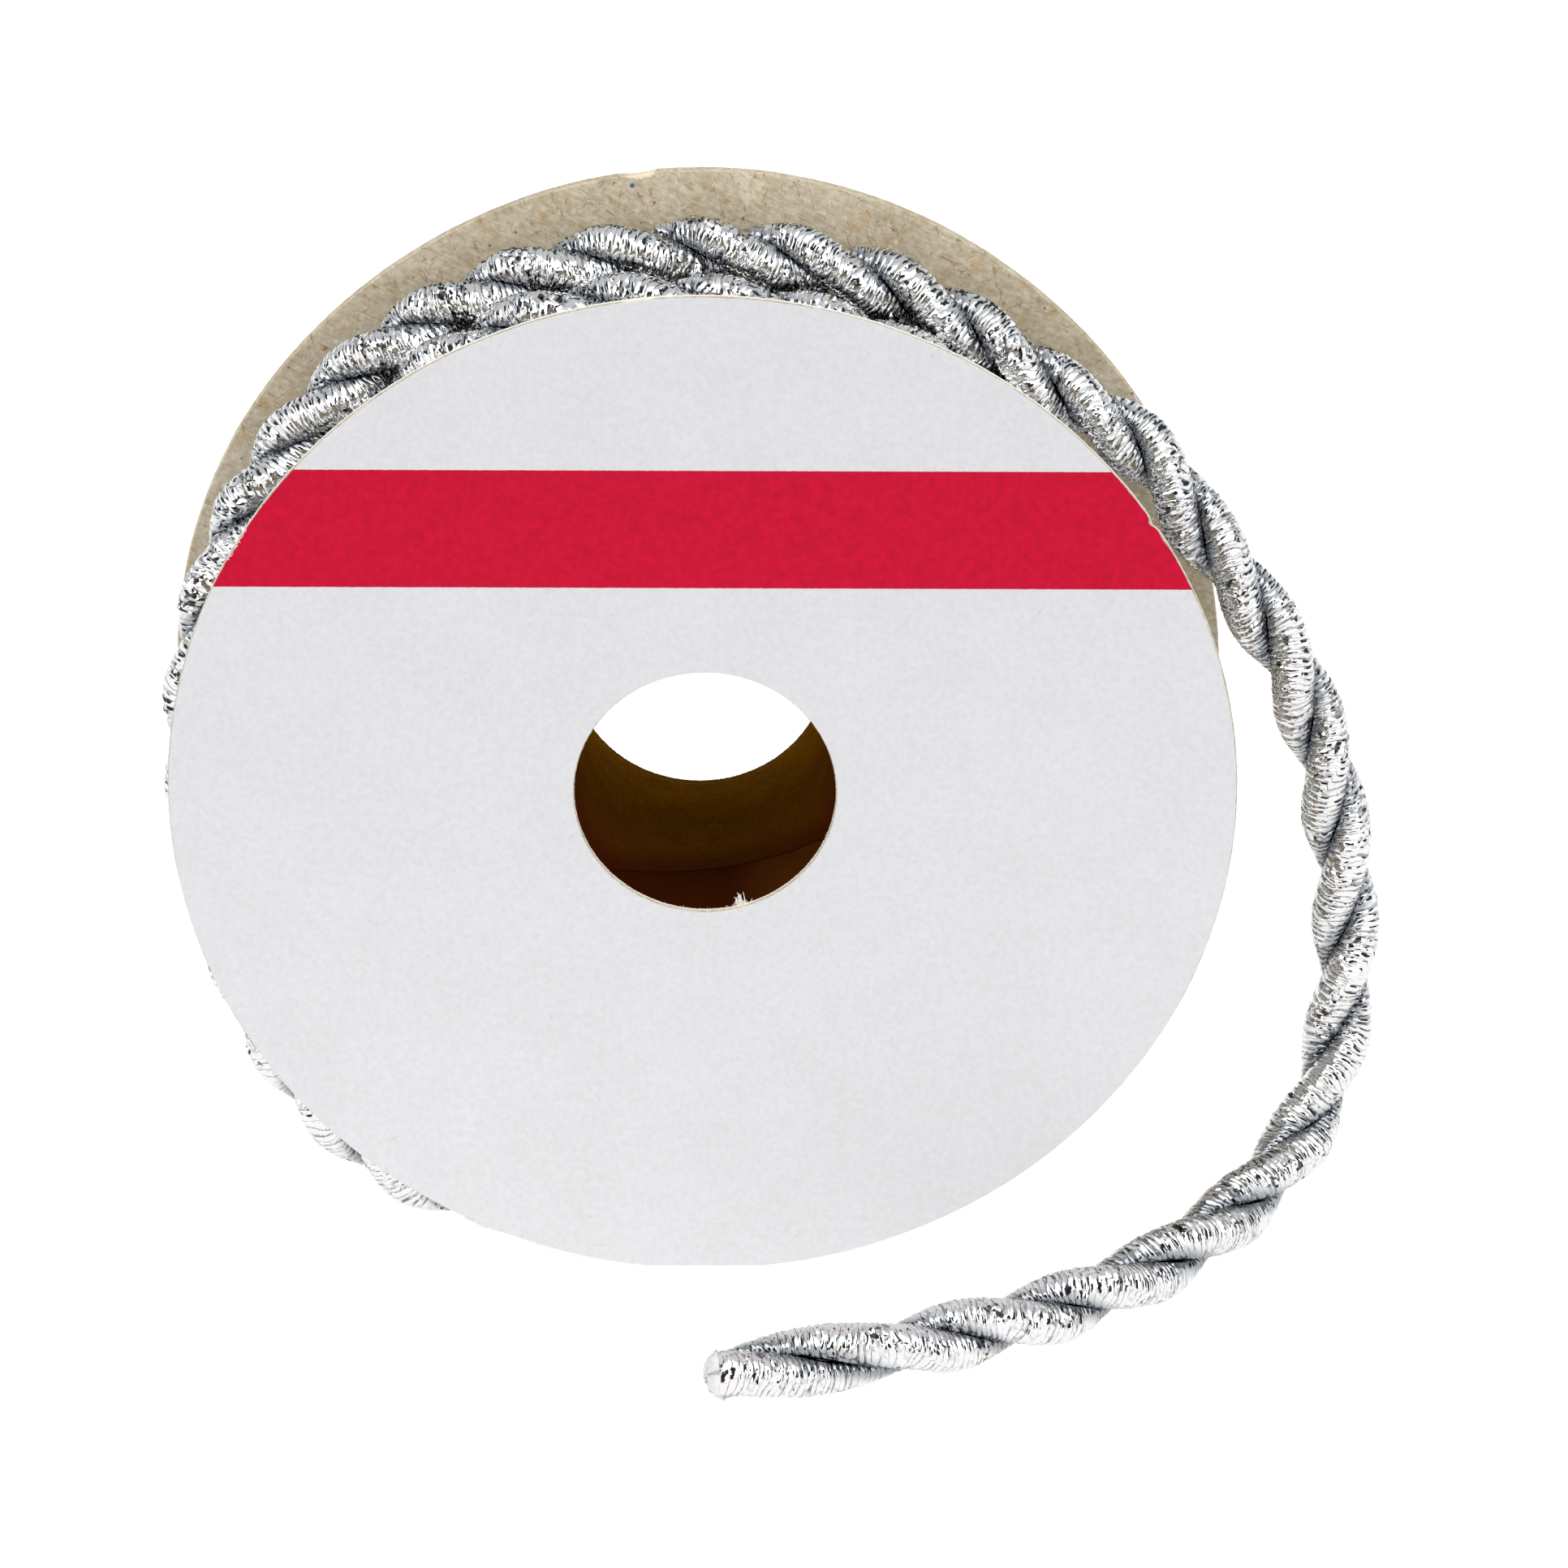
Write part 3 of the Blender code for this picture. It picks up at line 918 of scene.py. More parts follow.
def unit(vectors: np.ndarray) -> np.ndarray:
    """Return the rows at length 1."""
    return vectors / np.linalg.norm(vectors, axis=1)[:, None]


def ply_section(sides: int, radius: float, reach: float) -> tuple[np.ndarray, np.ndarray]:
    """Return the outline of a ply that is pressed flat against the other.

    Args:
        sides: how many points the outline has.
        radius: the ply's radius.
        reach: how far its flat side is from its middle.

    Returns:
        The outline's distances outwards and sideways from the ply's middle.
    """
    even = np.linspace(0.0, 2 * np.pi, sides, endpoint=False)
    angle = even - OPEN_SIDE_SHARE * np.sin(even)
    flat = np.maximum(-np.cos(angle), 1e-6) / reach
    size = (radius**-PRESS_SHARPNESS + flat**PRESS_SHARPNESS) ** (-1 / PRESS_SHARPNESS)
    return size * np.cos(angle), size * np.sin(angle)


def ply_tube(middle: np.ndarray, stacking: np.ndarray, ply: Ply, sides: int, start: float,
             closed: bool = False, cut: Sequence[tuple[float, float]] = ()) -> bpy.types.Mesh:
    """Return one ply of the cord as a smooth tube with its own coordinates.

    Args:
        middle: points on the cord's middle line.
        stacking: the direction from the second ply to the first at each point.
        ply: which ply.
        sides: points round the ply.
        start: the distance along the cord of the first point.
        closed: whether the tube is a ring.
        cut: rings beyond the last point, as how far ahead and what share of the size.

    Returns:
        The mesh, with the attributes lay, open_side, outwards, cut and axis.
    """
    outward = stacking * ply.value
    centre = middle + outward * PLY_OFFSET
    spread = np.gradient(centre, axis=0)
    lengthwise = np.gradient(middle, axis=0)
    if closed:
        spread = np.roll(centre, -1, 0) - np.roll(centre, 1, 0)
        lengthwise = np.roll(middle, -1, 0) - np.roll(middle, 1, 0)
    tangent = unit(spread)
    slope = np.sum(tangent * unit(lengthwise), axis=1)
    outward = unit(outward - tangent * np.sum(outward * tangent, axis=1)[:, None])
    sideways = np.cross(tangent, outward)
    out, side = ply_section(sides, PLY_RADIUS, PLY_OFFSET - PRESS_GAP)
    verts = (centre[:, None, :] + out[None, :, None] * outward[:, None, :]
             + (slope[:, None] * side[None, :])[:, :, None] * sideways[:, None, :])
    random = np.random.default_rng(sides + ply.value)
    if cut:
        from_end = np.linalg.norm(centre - centre[-1], axis=1)
        slant = CUT_SLANT * np.clip(1.0 - from_end / CUT_SLANT_LENGTH, 0.0, 1.0)
        nearness = (verts - centre[:, None, :]) @ np.array(TO_CAMERA)
        verts += (slant[:, None] * nearness)[:, :, None] * tangent[:, None, :]
    last_ring, last_place = verts[-1] - centre[-1], centre[-1]
    for reach, share in cut:
        uneven = 1.0 + random.uniform(-CUT_UNEVENNESS, CUT_UNEVENNESS, (sides, 1))
        ahead = tangent[-1] * reach * random.uniform(*CUT_REACH_RANGE, (sides, 1))
        ring = last_place + ahead + last_ring * share * uneven
        verts = np.concatenate([verts, ring[None]])
    rings = len(verts)
    faces = band_faces(rings, sides, closed)
    if not closed:
        faces.append(list(range(sides)))
        faces.append(list(range((rings - 1) * sides, rings * sides)))
    mesh = mesh_from("ply", verts.reshape(-1, 3), faces)
    gaps = np.linalg.norm(np.diff(centre, axis=0), axis=1)
    along = start + np.concatenate([[0.0], np.cumsum(gaps)])
    along = np.concatenate([along, np.full(len(cut), along[-1])])
    lay = np.zeros((rings, sides, 3))
    lay[:, :, 0] = out[None, :]
    lay[:, :, 1] = side[None, :]
    lay[:, :, 2] = along[:, None]
    lay[:, :, 0] += PLY_SHIFT * ply.value
    turned = np.clip((out / PLY_RADIUS - OPENS_FROM) / OPENS_OVER, 0.0, 1.0)
    open_side = np.broadcast_to(turned * turned * (3 - 2 * turned), (rings, sides))
    put_attribute(mesh, "lay", "FLOAT_VECTOR", lay * PER_MM)
    put_attribute(mesh, "open_side", "FLOAT", open_side)
    put_attribute(mesh, "outwards", "FLOAT", np.tile(out / PLY_RADIUS, rings))
    filled = np.repeat(np.arange(rings) >= len(middle) + CUT_LIP_RINGS, sides)
    put_attribute(mesh, "cut", "FLOAT", filled if cut else np.zeros(rings * sides))
    tangent = np.concatenate([tangent, np.repeat(tangent[-1:], len(cut), axis=0)])
    put_attribute(mesh, "axis", "FLOAT_VECTOR", np.repeat(tangent, sides, axis=0))
    return mesh


def put_attribute(mesh: bpy.types.Mesh, name: str, kind: str, values: np.ndarray) -> None:
    """Store values at a mesh's points."""
    target = mesh.attributes.new(name, kind, "POINT")
    key = "vector" if kind == "FLOAT_VECTOR" else "value"
    target.data.foreach_set(key, values.astype(np.float32).ravel())


def joined(name: str, parts: Sequence[bpy.types.Object]) -> bpy.types.Object:
    """Join objects into the first one and name it."""
    with bpy.context.temp_override(active_object=parts[0], object=parts[0],
                                   selected_editable_objects=list(parts)):
        bpy.ops.object.join()
    parts[0].name = name
    return parts[0]


@dataclass(frozen=True)
class Slack:
    """A stretch where a wound turn stands proud. Lengths are metres, angles degrees."""

    rise: float
    angle: float
    half_width: float


TAUT = Slack(0.0, 0.0, 45.0)
# Outer layer's turns that stand proud, by their place from the front
SLACK_TURNS = {2: Slack(0.0015, 118.0, 45.0), 3: Slack(0.0011, 46.0, 34.0)}


@dataclass
class MetallicCord:
    """The cord: its loose end, its slack last turn and its wound layers."""

    route: CordRoute
    wrap: RibbonWrap
    foil: bpy.types.Material
    loose_step: float = 0.00005
    turn_step: float = 0.00006
    layer_step: float = 0.00012
    loose_sides: int = 20
    turn_sides: int = 18
    layer_sides: int = 12
    wound_front: float = -0.0095
    wound_back: float = 0.0102
    layer_radii: tuple[float, ...] = (0.0304, 0.0305, 0.0310, 0.0300)
    half_twists_per_turn: int = 28
    turn_lag: float = 0.35
    hidden_ply_trim: float = 0.0005
    path_points: int = 60
    cut_profile: tuple[tuple[float, float], ...] = (
        (0.00008, 1.02), (0.00020, 1.01), (0.00034, 0.95), (0.00048, 0.86), (0.00060, 0.74),
        (0.00070, 0.58), (0.00078, 0.40), (0.00082, 0.20))
    strip_pitch: float = 0.46
    under_radius: float = 0.0268
    under_twists: int = 24
    under_step: float = 0.00036
    under_sides: int = 10
    under_lag: float = 0.2
    under_pitch: float = 0.6
    bed_radius: float = 0.0262
    bed_wall: float = 0.0018
    bed_ripple: float = 0.0004
    bed_ripple_steps: tuple[float, float] = (2.1, 0.9)
    bed_sides: int = 160
    bed_rows: int = 24
    # Openness of the bed; a low one paints it with the foil's crease shade
    bed_openness: float = 0.2
    bed_strips_per_mm: float = 2.0

    def wrapped(self, name: str, mesh: bpy.types.Mesh, seed: float,
                pitch: float) -> bpy.types.Object:
        """Return a ply with its ribbon wound on it.

        Args:
            name: the object's name.
            mesh: the smooth ply.
            seed: what makes its crinkles differ from another ply's.
            pitch: millimetres from strip to strip of the ribbon.
        """
        piece = link_piece(name, mesh)
        run_tree(piece, self.wrap.group, {"Pitch": pitch, "Seed": seed, "Material": self.foil})
        piece.data.shade_smooth()
        return piece

    def stretch(self, name: str, start: float, stop: float, step: float, sides: int,
                ply: Ply) -> bpy.types.Object:
        """Return one wrapped ply of the route between two distances.

        Args:
            name: the object's name.
            start: the distance where it begins.
            stop: the distance where it ends. It is cut at the end of the route.
            step: the distance from ring to ring of the mesh.
            sides: points round the ply.
            ply: which ply.
        """
        cut = self.cut_profile if stop == self.route.end_at else ()
        if cut and self.route.stacking(np.array([stop]))[0, 1] * ply.value > 0.0:
            stop -= self.hidden_ply_trim
        count = math.ceil((stop - start) / step)
        distances = np.linspace(start, stop, count + 1)
        mesh = ply_tube(self.route.at(distances), self.route.stacking(distances), ply, sides,
                        start, cut=cut)
        return self.wrapped(name, mesh, 3.0 + 5.0 * ply.value, self.strip_pitch)

    def build_loose_end(self) -> None:
        route = self.route
        plies = [self.stretch(f"loose_{ply.name.lower()}", route.exit_at, route.end_at,
                              self.loose_step, self.loose_sides, ply) for ply in Ply]
        piece = joined("loose_end_cord", plies)
        hand_in(piece, Slot.CORD, ["loose_end"])
        stops = np.linspace(route.exit_at, route.end_at, self.path_points)
        route.at(stops).tolist()

    def build_last_turn(self) -> None:
        """Make the slack last turn, a piece for each ply."""
        for ply in Ply:
            piece = self.stretch(f"last_turn_{ply.name.lower()}_ply", 0.0, self.route.exit_at,
                                 self.turn_step, self.turn_sides, ply)
            hand_in(piece, Slot.CORD, ["winding"])

    def ring(self, radius: float, y: float, twists: int, lag: float, step: float, sides: int,
             ply: Ply, slack: Slack = TAUT) -> bpy.types.Mesh:
        """Return one ply of a closed turn of the wound form.

        Args:
            radius: the radius of the cord's middle.
            y: the turn's Y.
            twists: half twists in the turn.
            lag: the half twists at the top.
            step: the distance from ring to ring of the mesh.
            sides: points round the ply.
            ply: which ply.
            slack: where and how far the turn stands proud.
        """
        count = math.ceil(2 * np.pi * radius / step)
        turned = np.linspace(0.0, 2 * np.pi, count, endpoint=False)
        angle = np.pi / 2 - turned
        off = (np.degrees(angle) - slack.angle + 180) % 360 - 180
        share = np.minimum(1.0, np.abs(off) / slack.half_width)
        reach = radius + slack.rise * np.cos(np.pi / 2 * share) ** 2
        radial = np.stack([np.cos(angle), np.zeros(count), np.sin(angle)], 1)
        middle = radial * reach[:, None] + np.array([0.0, y, AXLE_HEIGHT])
        twist = turned * twists / 2 + np.pi * lag
        stacking = np.cos(twist)[:, None] * radial
        stacking[:, 1] -= np.sin(twist)
        return ply_tube(middle, stacking, ply, sides, 0.0, closed=True)

    def build_layers(self) -> None:
        """Make the outer layer's turns, the layer under it and its bed."""
        pitch = (self.wound_back - self.wound_front) / len(self.layer_radii)
        for turn, radius in enumerate(self.layer_radii):
            y = self.wound_front + (turn + 0.5) * pitch
            slack = SLACK_TURNS.get(turn, TAUT)
            plies = [self.wrapped(f"turn_{ply.name}", self.ring(
                radius, y, self.half_twists_per_turn, self.turn_lag * turn, self.layer_step,
                self.layer_sides, ply, slack), 11.0 * turn + 3.0 * ply.value,
                self.strip_pitch) for ply in Ply]
            hand_in(joined(f"wound_turn_{turn + 1}", plies), Slot.CORD, ["winding"])
        plies = []
        for turn in range(1, len(self.layer_radii)):
            y = self.wound_front + turn * pitch
            plies += [self.wrapped(f"under_{turn}_{ply.name}", self.ring(
                self.under_radius, y, self.under_twists, self.under_lag * turn,
                self.under_step, self.under_sides, ply), 60.0 + 7.0 * turn + ply.value,
                self.under_pitch) for ply in Ply]
        hand_in(joined("under_layer", plies), Slot.CORD)
        self.build_bed()

    def build_bed(self) -> None:
        """Make the surface that closes the gaps under the layers."""
        sides, rows = self.bed_sides, self.bed_rows
        by_row, by_side = self.bed_ripple_steps
        verts = []
        for i in range(sides):
            angle = 2 * math.pi * i / sides
            outline = []
            for row in range(rows):
                y = self.wound_front + (self.wound_back - self.wound_front) * row / (rows - 1)
                wave = math.sin(row * by_row + i * by_side)
                outline.append((self.bed_radius + self.bed_ripple * wave, y))
            outline += [(BORE_RADIUS + self.bed_wall, y)
                        for y in (self.wound_back, self.wound_front)]
            verts += [(radius * math.cos(angle), y, AXLE_HEIGHT + radius * math.sin(angle))
                      for radius, y in outline]
        points = np.array(verts)
        mesh = mesh_from("wound_bed", points, band_faces(sides, len(verts) // sides))
        mesh.materials.append(self.foil)
        mesh.shade_smooth()
        put_attribute(mesh, "lay", "FLOAT_VECTOR", points * PER_MM)
        put_attribute(mesh, "axis", "FLOAT_VECTOR", np.tile((0.0, 1.0, 0.0), (len(points), 1)))
        # Painted shade: with this little openness the foil's crease shade covers nearly all of
        # the bed
        put_attribute(mesh, "open_side", "FLOAT", np.full(len(points), self.bed_openness))
        strips = points[:, 1] * PER_MM * self.bed_strips_per_mm
        put_attribute(mesh, "strip", "FLOAT", strips)
        hand_in(link_piece("wound_bed", mesh), Slot.CORD)


@dataclass(frozen=True)
class Nick:
    """A small bite out of a disc's rim. Lengths are metres, angles degrees."""

    angle: float
    depth: float
    width: float


PAPER_NICKS = (
    Nick(33.4, 0.0003, 0.0003),
    Nick(31.0, 0.0001, 0.0006),
    Nick(149.8, 0.00016, 0.0003),
    Nick(148.4, 0.00012, 0.0002),
)
FRONT_BOARD_NICKS = (Nick(33.0, 0.0002, 0.0004),)
BACK_BOARD_NICKS = (Nick(96.5, 0.00012, 0.0009),)


@dataclass(frozen=True)
class Tuft:
    """Fibres along a stretch of a round edge. Lengths are metres, angles degrees."""

    start: float
    stop: float
    radius: float
    y: float
    count: float
    length: float
    thickness: float
    spread: float = 0.7
    inwards: bool = False
    shift: float = 0.0


TUFTS = (
    Tuft(-74.5, -70.5, 0.00955, -0.0113, 16.0, 0.00120, 0.00013, 0.22, True),
    Tuft(-76.5, -69.0, 0.00955, -0.0113, 22.0, 0.00055, 0.00009, 0.5, True),
    Tuft(-104.0, -76.0, 0.00952, -0.0113, 60.0, 0.00036, 0.00006, 0.9, True),
    Tuft(-160.0, -20.0, 0.00952, -0.0113, 90.0, 0.00016, 0.00004, 0.9, True),
    Tuft(95.0, 99.5, 0.03795, 0.0125, 34.0, 0.00042, 0.00006, 0.9),
    Tuft(147.5, 151.5, 0.03803, -0.0117, 22.0, 0.00020, 0.00008, 0.9, True),
    Tuft(20.0, 175.0, 0.03805, -0.0112, 150.0, 0.00020, 0.00003, 0.9),
    Tuft(20.0, 165.0, 0.03800, 0.0120, 120.0, 0.00022, 0.00003, 0.9, False, -0.00046),
)


class TornFibres:
    """Short fibres that stand out of a cut edge, as a Geometry Nodes tree."""

    shortest: float = 0.35
    sways_per_metre: float = 1600.0
    sway: float = 1.3
    taper: float = 0.7
    points: int = 5
    sides: int = 4

    def __init__(self) -> None:
        """Build the tree. Its lengths are metres."""
        self.group, tree, given = new_group("torn_fibre_tree", {
            "Count": 40.0, "Length": 0.0004, "Spread": 0.6, "Thickness": 0.00004,
            "Seed": 1.0})
        sizes = {s.name: Sock(tree, s) for s in given.socket.node.outputs if s.name}
        edge = tree.node("GeometryNodeMeshToCurve", None, {"Mesh": given})
        heading = tree.stored("heading", "FLOAT_VECTOR")
        spots = tree.node("GeometryNodeResampleCurve", None,
                          {"Curve": edge, "Count": sizes["Count"]})
        stray = self._random(tree, "FLOAT_VECTOR", (-1.0, -1.0, -1.0), (1.0, 1.0, 1.0),
                             sizes["Seed"])
        aim = tree.vector("ADD", heading, tree.vector("SCALE", stray, scale=sizes["Spread"]))
        rotation = tree.node("FunctionNodeAlignRotationToVector", {"axis": "Z"}, {"Vector": aim})
        scale = self._random(tree, "FLOAT", self.shortest, 1.0, sizes["Seed"] + 7.0)
        scale = scale * sizes["Length"]
        fibre = tree.node("GeometryNodeCurvePrimitiveLine", None,
                          {"Start": (0.0, 0.0, 0.0), "End": (0.0, 0.0, 1.0)})
        fibre = tree.node("GeometryNodeResampleCurve", None,
                          {"Curve": fibre, "Count": self.points})
        fibres = tree.node("GeometryNodeInstanceOnPoints", None, {
            "Points": spots, "Instance": fibre, "Rotation": rotation, "Scale": scale})
        fibres = tree.node("GeometryNodeRealizeInstances", None, {"Geometry": fibres})
        share = tree.node("GeometryNodeSplineParameter")
        place = tree.node("GeometryNodeInputPosition")
        sway = tree.noise(place, self.sways_per_metre, 1.0, 0.5, "Color")
        sway = tree.vector("SUBTRACT", sway, (0.5, 0.5, 0.5))
        offset = tree.vector("SCALE", sway,
                             scale=share * share * sizes["Length"] * self.sway)
        fibres = tree.node("GeometryNodeSetPosition", None,
                           {"Geometry": fibres, "Offset": offset})
        profile = tree.node("GeometryNodeCurvePrimitiveCircle", None,
                            {"Resolution": self.sides, "Radius": sizes["Thickness"] * 0.5})
        tubes = tree.node("GeometryNodeCurveToMesh", None, {
            "Curve": fibres, "Profile Curve": profile, "Scale": 1.0 - self.taper * share,
            "Fill Caps": True})
        close_group(tree, given, tubes)

    @staticmethod
    def _random(tree: Tree, kind: str, low: object, high: object, seed: Sock) -> Sock:
        """Return a random value for each point, of type FLOAT or FLOAT_VECTOR."""
        first, out = (0, 0) if kind == "FLOAT_VECTOR" else (2, 1)
        return tree.node("FunctionNodeRandomValue", {"data_type": kind},
                         {first: low, first + 1: high, "Seed": seed}, out)


@dataclass
class CardboardSpool:
    """The two board flanges, the printed paper, the core and their torn edges."""

    board: bpy.types.Material
    paper: bpy.types.Material
    brown: bpy.types.Material
    torn: bpy.types.Material
    front_thickness: float = 0.00042
    back_thickness: float = 0.00075
    paper_thickness: float = 0.00014
    paper_rim_inset: float = 0.00006
    paper_hole_inset: float = 0.00007
    paper_round: float = 0.00003
    rim_sides: int = 720
    face_shares: tuple[float, ...] = (0.0, 0.45, 0.62, 0.76, 0.88, 1.0)
    edge_round: float = 0.00008
    ripple: float = 0.00005
    waves_round: tuple[int, ...] = (3, 5, 9, 17, 31, 57)
    hole_radius: float = 0.00931
    front_bore_shift: float = 0.00018
    back_bore_shift: float = -0.00040
    back_shift: float = -0.00046
    back_dish: float = 0.0008
    core_wall: float = 0.0014
    core_sides: int = 240
    core_rows: int = 14
    flare: float = 0.00165
    flare_start: float = 0.022
    flare_angle: float = 84.0
    flare_half_width: float = 58.0
    tuft_points: int = 24

    def disc(self, name: str, y_front: float, y_back: float, radius: float, bore: float,
             nicks: Sequence[Nick], seed: int, rounding: float, bore_shift: float,
             shift: float = 0.0, flare: float = 0.0, dish: float = 0.0) -> bpy.types.Mesh:
        """Return a cut disc with a hole, its edges a little uneven.

        Args:
            name: the mesh's name.
            y_front: Y of its front.
            y_back: Y of its back.
            radius: the outer radius.
            bore: the radius of the hole.
            nicks: bites out of the rim.
            seed: seed of the unevenness.
            rounding: how much the edges are rounded.
            bore_shift: how far its hole sits to the right of the axle.
            shift: how far its rim does.
            flare: how far its rim is pushed back at the top.
            dish: how far its middle is pushed forward.

        Returns:
            The mesh. Its rim has material 1 and the inside of its hole has material 2.
        """
        random = np.random.default_rng(seed)
        sides = self.rim_sides
        angle = np.linspace(0.0, 2 * np.pi, sides, endpoint=False)
        waves = np.zeros(sides)
        for waviness in self.waves_round:
            waves += np.sin(angle * waviness + random.uniform(0, 6.28)) / math.sqrt(waviness)
        outer = radius - self.ripple * 0.5 + waves * self.ripple * 0.4
        outer += random.normal(0.0, self.ripple * 0.16, sides)
        for nick in nicks:
            off = np.angle(np.exp(1j * (angle - math.radians(nick.angle)))) * radius
            outer -= nick.depth * np.exp(-((off / nick.width) ** 2))
        outer = np.minimum(outer, radius)
        inner = bore + np.abs(random.normal(0.0, self.ripple * 0.4, sides))
        from_top = (np.degrees(angle) - self.flare_angle + 180) % 360 - 180
        bent = np.cos(np.pi / 2 * np.minimum(1.0, np.abs(from_top) / self.flare_half_width)) ** 2
        faces_in = [inner + rounding + (outer - inner - 2 * rounding) * share
                    for share in self.face_shares]
        profile = [(inner, y_front + rounding)]
        profile += [(reach, y_front) for reach in faces_in]
        profile += [(outer, y_front + rounding), (outer, y_back - rounding)]
        profile += [(reach, y_back) for reach in reversed(faces_in)]
        profile += [(inner, y_back - rounding)]
        rings = []
        for reach, y in profile:
            out = np.clip((reach - self.flare_start) / (radius - self.flare_start), 0.0, 1.0)
            share = (reach - bore) / (radius - bore)
            middle = np.clip((self.flare_start - reach) / (self.flare_start - bore), 0.0, 1.0)
            x = bore_shift + (shift - bore_shift) * share + reach * np.cos(angle)
            z = np.maximum(AXLE_HEIGHT + reach * np.sin(angle), 0.0)
            rings.append(np.stack([x, y + flare * bent * out**2 - dish * middle, z], 1))
        count = len(rings)
        mesh = mesh_from(name, np.concatenate(rings), band_faces(count, sides))
        rim_ring = len(self.face_shares) + 1
        kinds = np.zeros(count * sides, dtype=np.int32)
        kinds[rim_ring * sides:(rim_ring + 1) * sides] = 1
        kinds[(count - 1) * sides:] = 2
        mesh.polygons.foreach_set("material_index", kinds)
        mesh.shade_smooth()
        mesh.set_sharp_from_angle(angle=SHARP_ANGLE)
        return mesh

    def build_discs(self) -> None:
        """Make the flanges and the paper that is glued on the front one."""
        board_front = FRONT_FACE + self.paper_thickness
        front = self.disc("flange_front_board", board_front, board_front + self.front_thickness,
                          FLANGE_RADIUS, self.hole_radius, FRONT_BOARD_NICKS, 3,
                          self.edge_round, self.front_bore_shift)
        for material in (self.board, self.torn, self.torn):
            front.materials.append(material)
        hand_in(link_piece("flange_front_board", front), Slot.CHIPBOARD, ["flange_front"])
        back = self.disc("flange_back_board", BACK_FACE - self.back_thickness, BACK_FACE,
                         FLANGE_RADIUS, self.hole_radius, BACK_BOARD_NICKS, 5,
                         self.edge_round, self.back_bore_shift, self.back_shift, self.flare,
                         self.back_dish)
        for material in (self.board, self.board, self.brown):
            back.materials.append(material)
        hand_in(link_piece("flange_back_board", back), Slot.CHIPBOARD, ["flange_back"])
        sheet = self.disc("printed_sheet", FRONT_FACE, board_front,
                          FLANGE_RADIUS - self.paper_rim_inset,
                          self.hole_radius + self.paper_hole_inset, PAPER_NICKS, 9,
                          self.paper_round, self.front_bore_shift)
        for material in (self.paper, self.paper, self.torn):
            sheet.materials.append(material)
        hand_in(link_piece("printed_sheet", sheet), Slot.PAPER, ["label"])

    def edge_line(self, tuft: "Tuft") -> bpy.types.Mesh:
        """Return the stretch of an edge that a tuft stands on, as a line of points.

        Args:
            tuft: where the fibres stand and which way they point.

        Returns:
            A mesh of edges, with the attribute heading.
        """
        angle = np.radians(np.linspace(tuft.start, tuft.stop, self.tuft_points))
        radial = np.stack([np.cos(angle), np.zeros(len(angle)), np.sin(angle)], 1)
        points = radial * tuft.radius + np.array([tuft.shift, tuft.y, AXLE_HEIGHT])
        heading = radial * (-1.0 if tuft.inwards else 1.0)
        mesh = bpy.data.meshes.new("edge")
        mesh.from_pydata(points.tolist(), [(i, i + 1) for i in range(len(points) - 1)], [])
        put_attribute(mesh, "heading", "FLOAT_VECTOR", heading)
        return mesh

    def build_fibres(self) -> None:
        """Stand torn fibres on the edges that show them, all in one piece."""
        fuzz = TornFibres()
        parts = []
        for number, tuft in enumerate(TUFTS):
            piece = link_piece(f"tuft_{number}", self.edge_line(tuft))
            run_tree(piece, fuzz.group, {
                "Count": tuft.count, "Length": tuft.length, "Spread": tuft.spread,
                "Thickness": tuft.thickness, "Seed": 3.0 + number, "Material": self.torn})
            parts.append(piece)
        hand_in(joined("torn_fibres", parts), Slot.CHIPBOARD)

    def build_core(self) -> None:
        """Make the tube between the flanges, as oblique as their holes."""
        angle = np.linspace(0.0, 2 * np.pi, self.core_sides, endpoint=False)
        rows = np.linspace(0.0, 1.0, self.core_rows)
        front = FRONT_FACE + self.paper_thickness + self.front_thickness
        back = BACK_FACE - self.back_thickness - self.back_dish
        lean = self.back_bore_shift - self.front_bore_shift
        outline = [(self.hole_radius, share) for share in rows]
        outline += [(self.hole_radius + self.core_wall, share) for share in rows[::-1]]
        rings = []
        for radius, share in outline:
            middle = self.front_bore_shift + lean * share
            rings.append(np.stack([middle + radius * np.cos(angle),
                                   np.full(len(angle), front + (back - front) * share),
                                   AXLE_HEIGHT + radius * np.sin(angle)], 1))
        faces = band_faces(len(rings), self.core_sides)
        mesh = mesh_from("core_tube", np.concatenate(rings), faces)
        mesh.materials.append(self.brown)
        mesh.shade_smooth()
        mesh.set_sharp_from_angle(angle=SHARP_ANGLE)
        hand_in(link_piece("core_tube", mesh), Slot.CORE, ["core"])


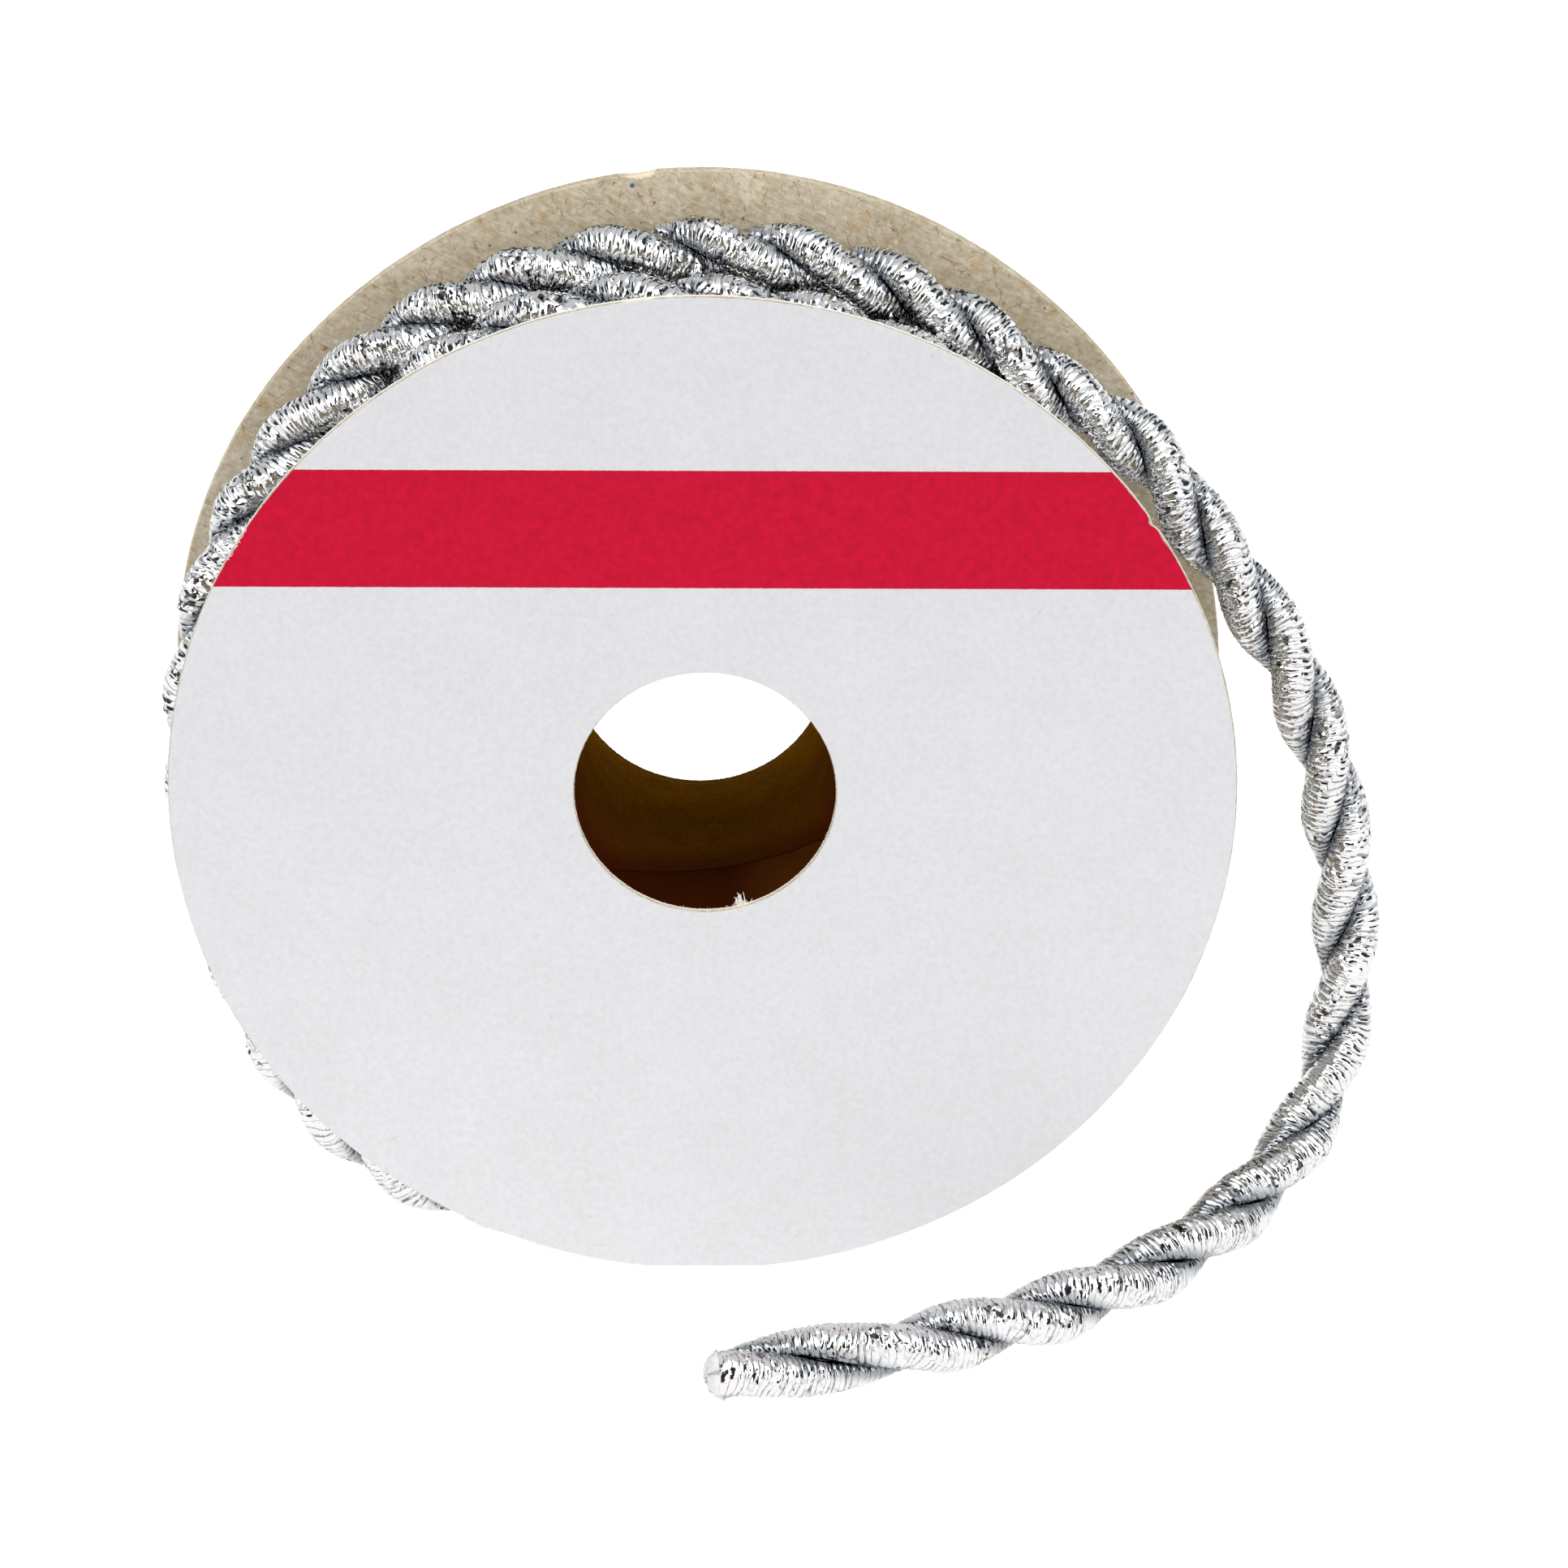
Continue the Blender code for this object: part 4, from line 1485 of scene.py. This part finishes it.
@dataclass
class Studio:
    """The camera at the photograph's angle, the pale floor and the white tent round them."""

    camera_place: tuple[float, float, float] = (0.005803, -0.694198, 0.352009)
    camera_pitch: float = 65.33
    lens: float = 242.24
    sensor: float = 36.0
    horizon: float = 1.0
    zenith: float = 0.8
    front_glow: float = 1.9
    band_glow: float = 3.0
    back_glow: float = 0.64
    side_dark: float = 0.05
    lens_dark: float = 0.035
    opening_height: float = 26.0
    front_range: tuple[float, float] = (0.10, -0.45)
    band_low: tuple[float, float] = (0.66, 0.74)
    band_high: tuple[float, float] = (0.96, 0.90)
    zenith_range: tuple[float, float] = (0.95, 0.985)
    horizon_range: tuple[float, float] = (0.22, 0.10)
    low_range: tuple[float, float] = (0.46, 0.34)
    opening_core: float = 0.945
    opening_fade: float = 0.915
    tent: Colour = (0.99, 0.992, 1.0)
    back_tent: Colour = (0.96, 0.985, 1.0)
    low_dark: Colour = (1.0, 0.50, 0.28)
    high_dark: Colour = (0.60, 0.80, 1.0)
    floor_colour: Colour = (0.22, 0.22, 0.22)
    floor_glow: float = 0.92
    dim_floor: Colour = (0.42, 0.44, 0.47)
    dim_near: float = -0.075
    dim_far: float = -0.30
    dim_blur: float = 0.06
    floor_half: float = 3.0
    floor_level: float = -0.00002

    def build_camera(self) -> None:
        """Make the scene's camera."""
        lens = bpy.data.cameras.new("camera")
        lens.lens = self.lens
        lens.sensor_width = self.sensor
        camera = bpy.data.objects.new("camera", lens)
        camera.location = self.camera_place
        camera.rotation_euler = (math.radians(self.camera_pitch), 0.0, 0.0)
        bpy.context.scene.collection.objects.link(camera)
        bpy.context.scene.camera = camera

    def build_room(self) -> None:
        """Set the room's glow: a white tent with four dark openings, one round the lens."""
        world = bpy.data.worlds.new("room")
        world.use_nodes = True
        tree = Tree(world.node_tree)
        towards = tree.node("ShaderNodeTexCoord", None, None, "Generated")
        across, depth, height = tree.xyz(towards)
        sideways = across.call("ABSOLUTE").call("MAXIMUM", depth.call("ABSOLUTE"))
        slope = math.radians(self.opening_height)
        near = sideways * math.cos(slope) + height * math.sin(slope)
        opening = near.ramp(self.opening_fade, self.opening_core)
        front = depth.ramp(*self.front_range)
        bright = height.ramp(*self.band_low) * height.ramp(*self.band_high) * front
        wall = self.back_glow + front * (self.front_glow - self.back_glow)
        wall = wall + bright * (self.band_glow - self.front_glow)
        wall = wall + height.ramp(*self.zenith_range) * (self.zenith - wall)
        wall = wall + height.ramp(*self.horizon_range) * (self.horizon - wall)
        dark = self.side_dark + front * (self.lens_dark - self.side_dark)
        strength = wall + opening * (dark - wall)
        brownish = height.ramp(*self.low_range) * front
        shade = tree.mix(brownish, self.high_dark, self.low_dark)
        walls = tree.mix(front, self.back_tent, self.tent)
        colour = tree.mix(opening, walls, shade)
        glow = tree.node("ShaderNodeBackground", None, {"Color": colour, "Strength": strength})
        tree.node("ShaderNodeOutputWorld", None, {0: glow})
        bpy.context.scene.world = world

    def build_floor(self) -> None:
        """Lay the plain pale floor. It glows, which lifts shadows on it nearly to white, and
        glows less in a band in front of the spool.
        """
        half, level = self.floor_half, self.floor_level
        corners = np.array([(-half, -half, level), (half, -half, level),
                            (half, half, level), (-half, half, level)])
        mesh = mesh_from("floor", corners, [(0, 1, 2, 3)])
        material, tree = shader_tree("pale_floor")
        place = tree.node("ShaderNodeTexCoord", None, None, "Object")
        _, depth, _ = tree.xyz(place)
        dim = depth.ramp(self.dim_near, self.dim_near - self.dim_blur)
        dim = dim * depth.ramp(self.dim_far - self.dim_blur, self.dim_far)
        finish_surface(tree, {
            "Base Color": (*self.floor_colour, 1.0),
            "Roughness": 0.9,
            "Specular IOR Level": 0.0,
            "Emission Color": tree.mix(dim, (1.0, 1.0, 1.0), self.dim_floor),
            "Emission Strength": self.floor_glow})
        mesh.materials.append(material)
        link_piece("floor", mesh)


def main() -> None:
    """Build the camera, the cord, the spool and the studio."""
    logging.basicConfig(level=logging.INFO, format="%(name)s: %(message)s")
    studio = Studio()
    studio.build_camera()
    cord = MetallicCord(CordRoute(), RibbonWrap(), FoilFinish().build())
    cord.build_loose_end()
    cord.build_last_turn()
    cord.build_layers()
    spool = CardboardSpool(ChipboardFinish().build(), PrintedPaperFinish().build(),
                           CoreBoardFinish().build(), TornBoardFinish().build())
    spool.build_discs()
    spool.build_fibres()
    spool.build_core()
    studio.build_room()
    studio.build_floor()
    bpy.context.scene.view_settings.view_transform = "Standard"


if __name__ == "__main__":
    main()
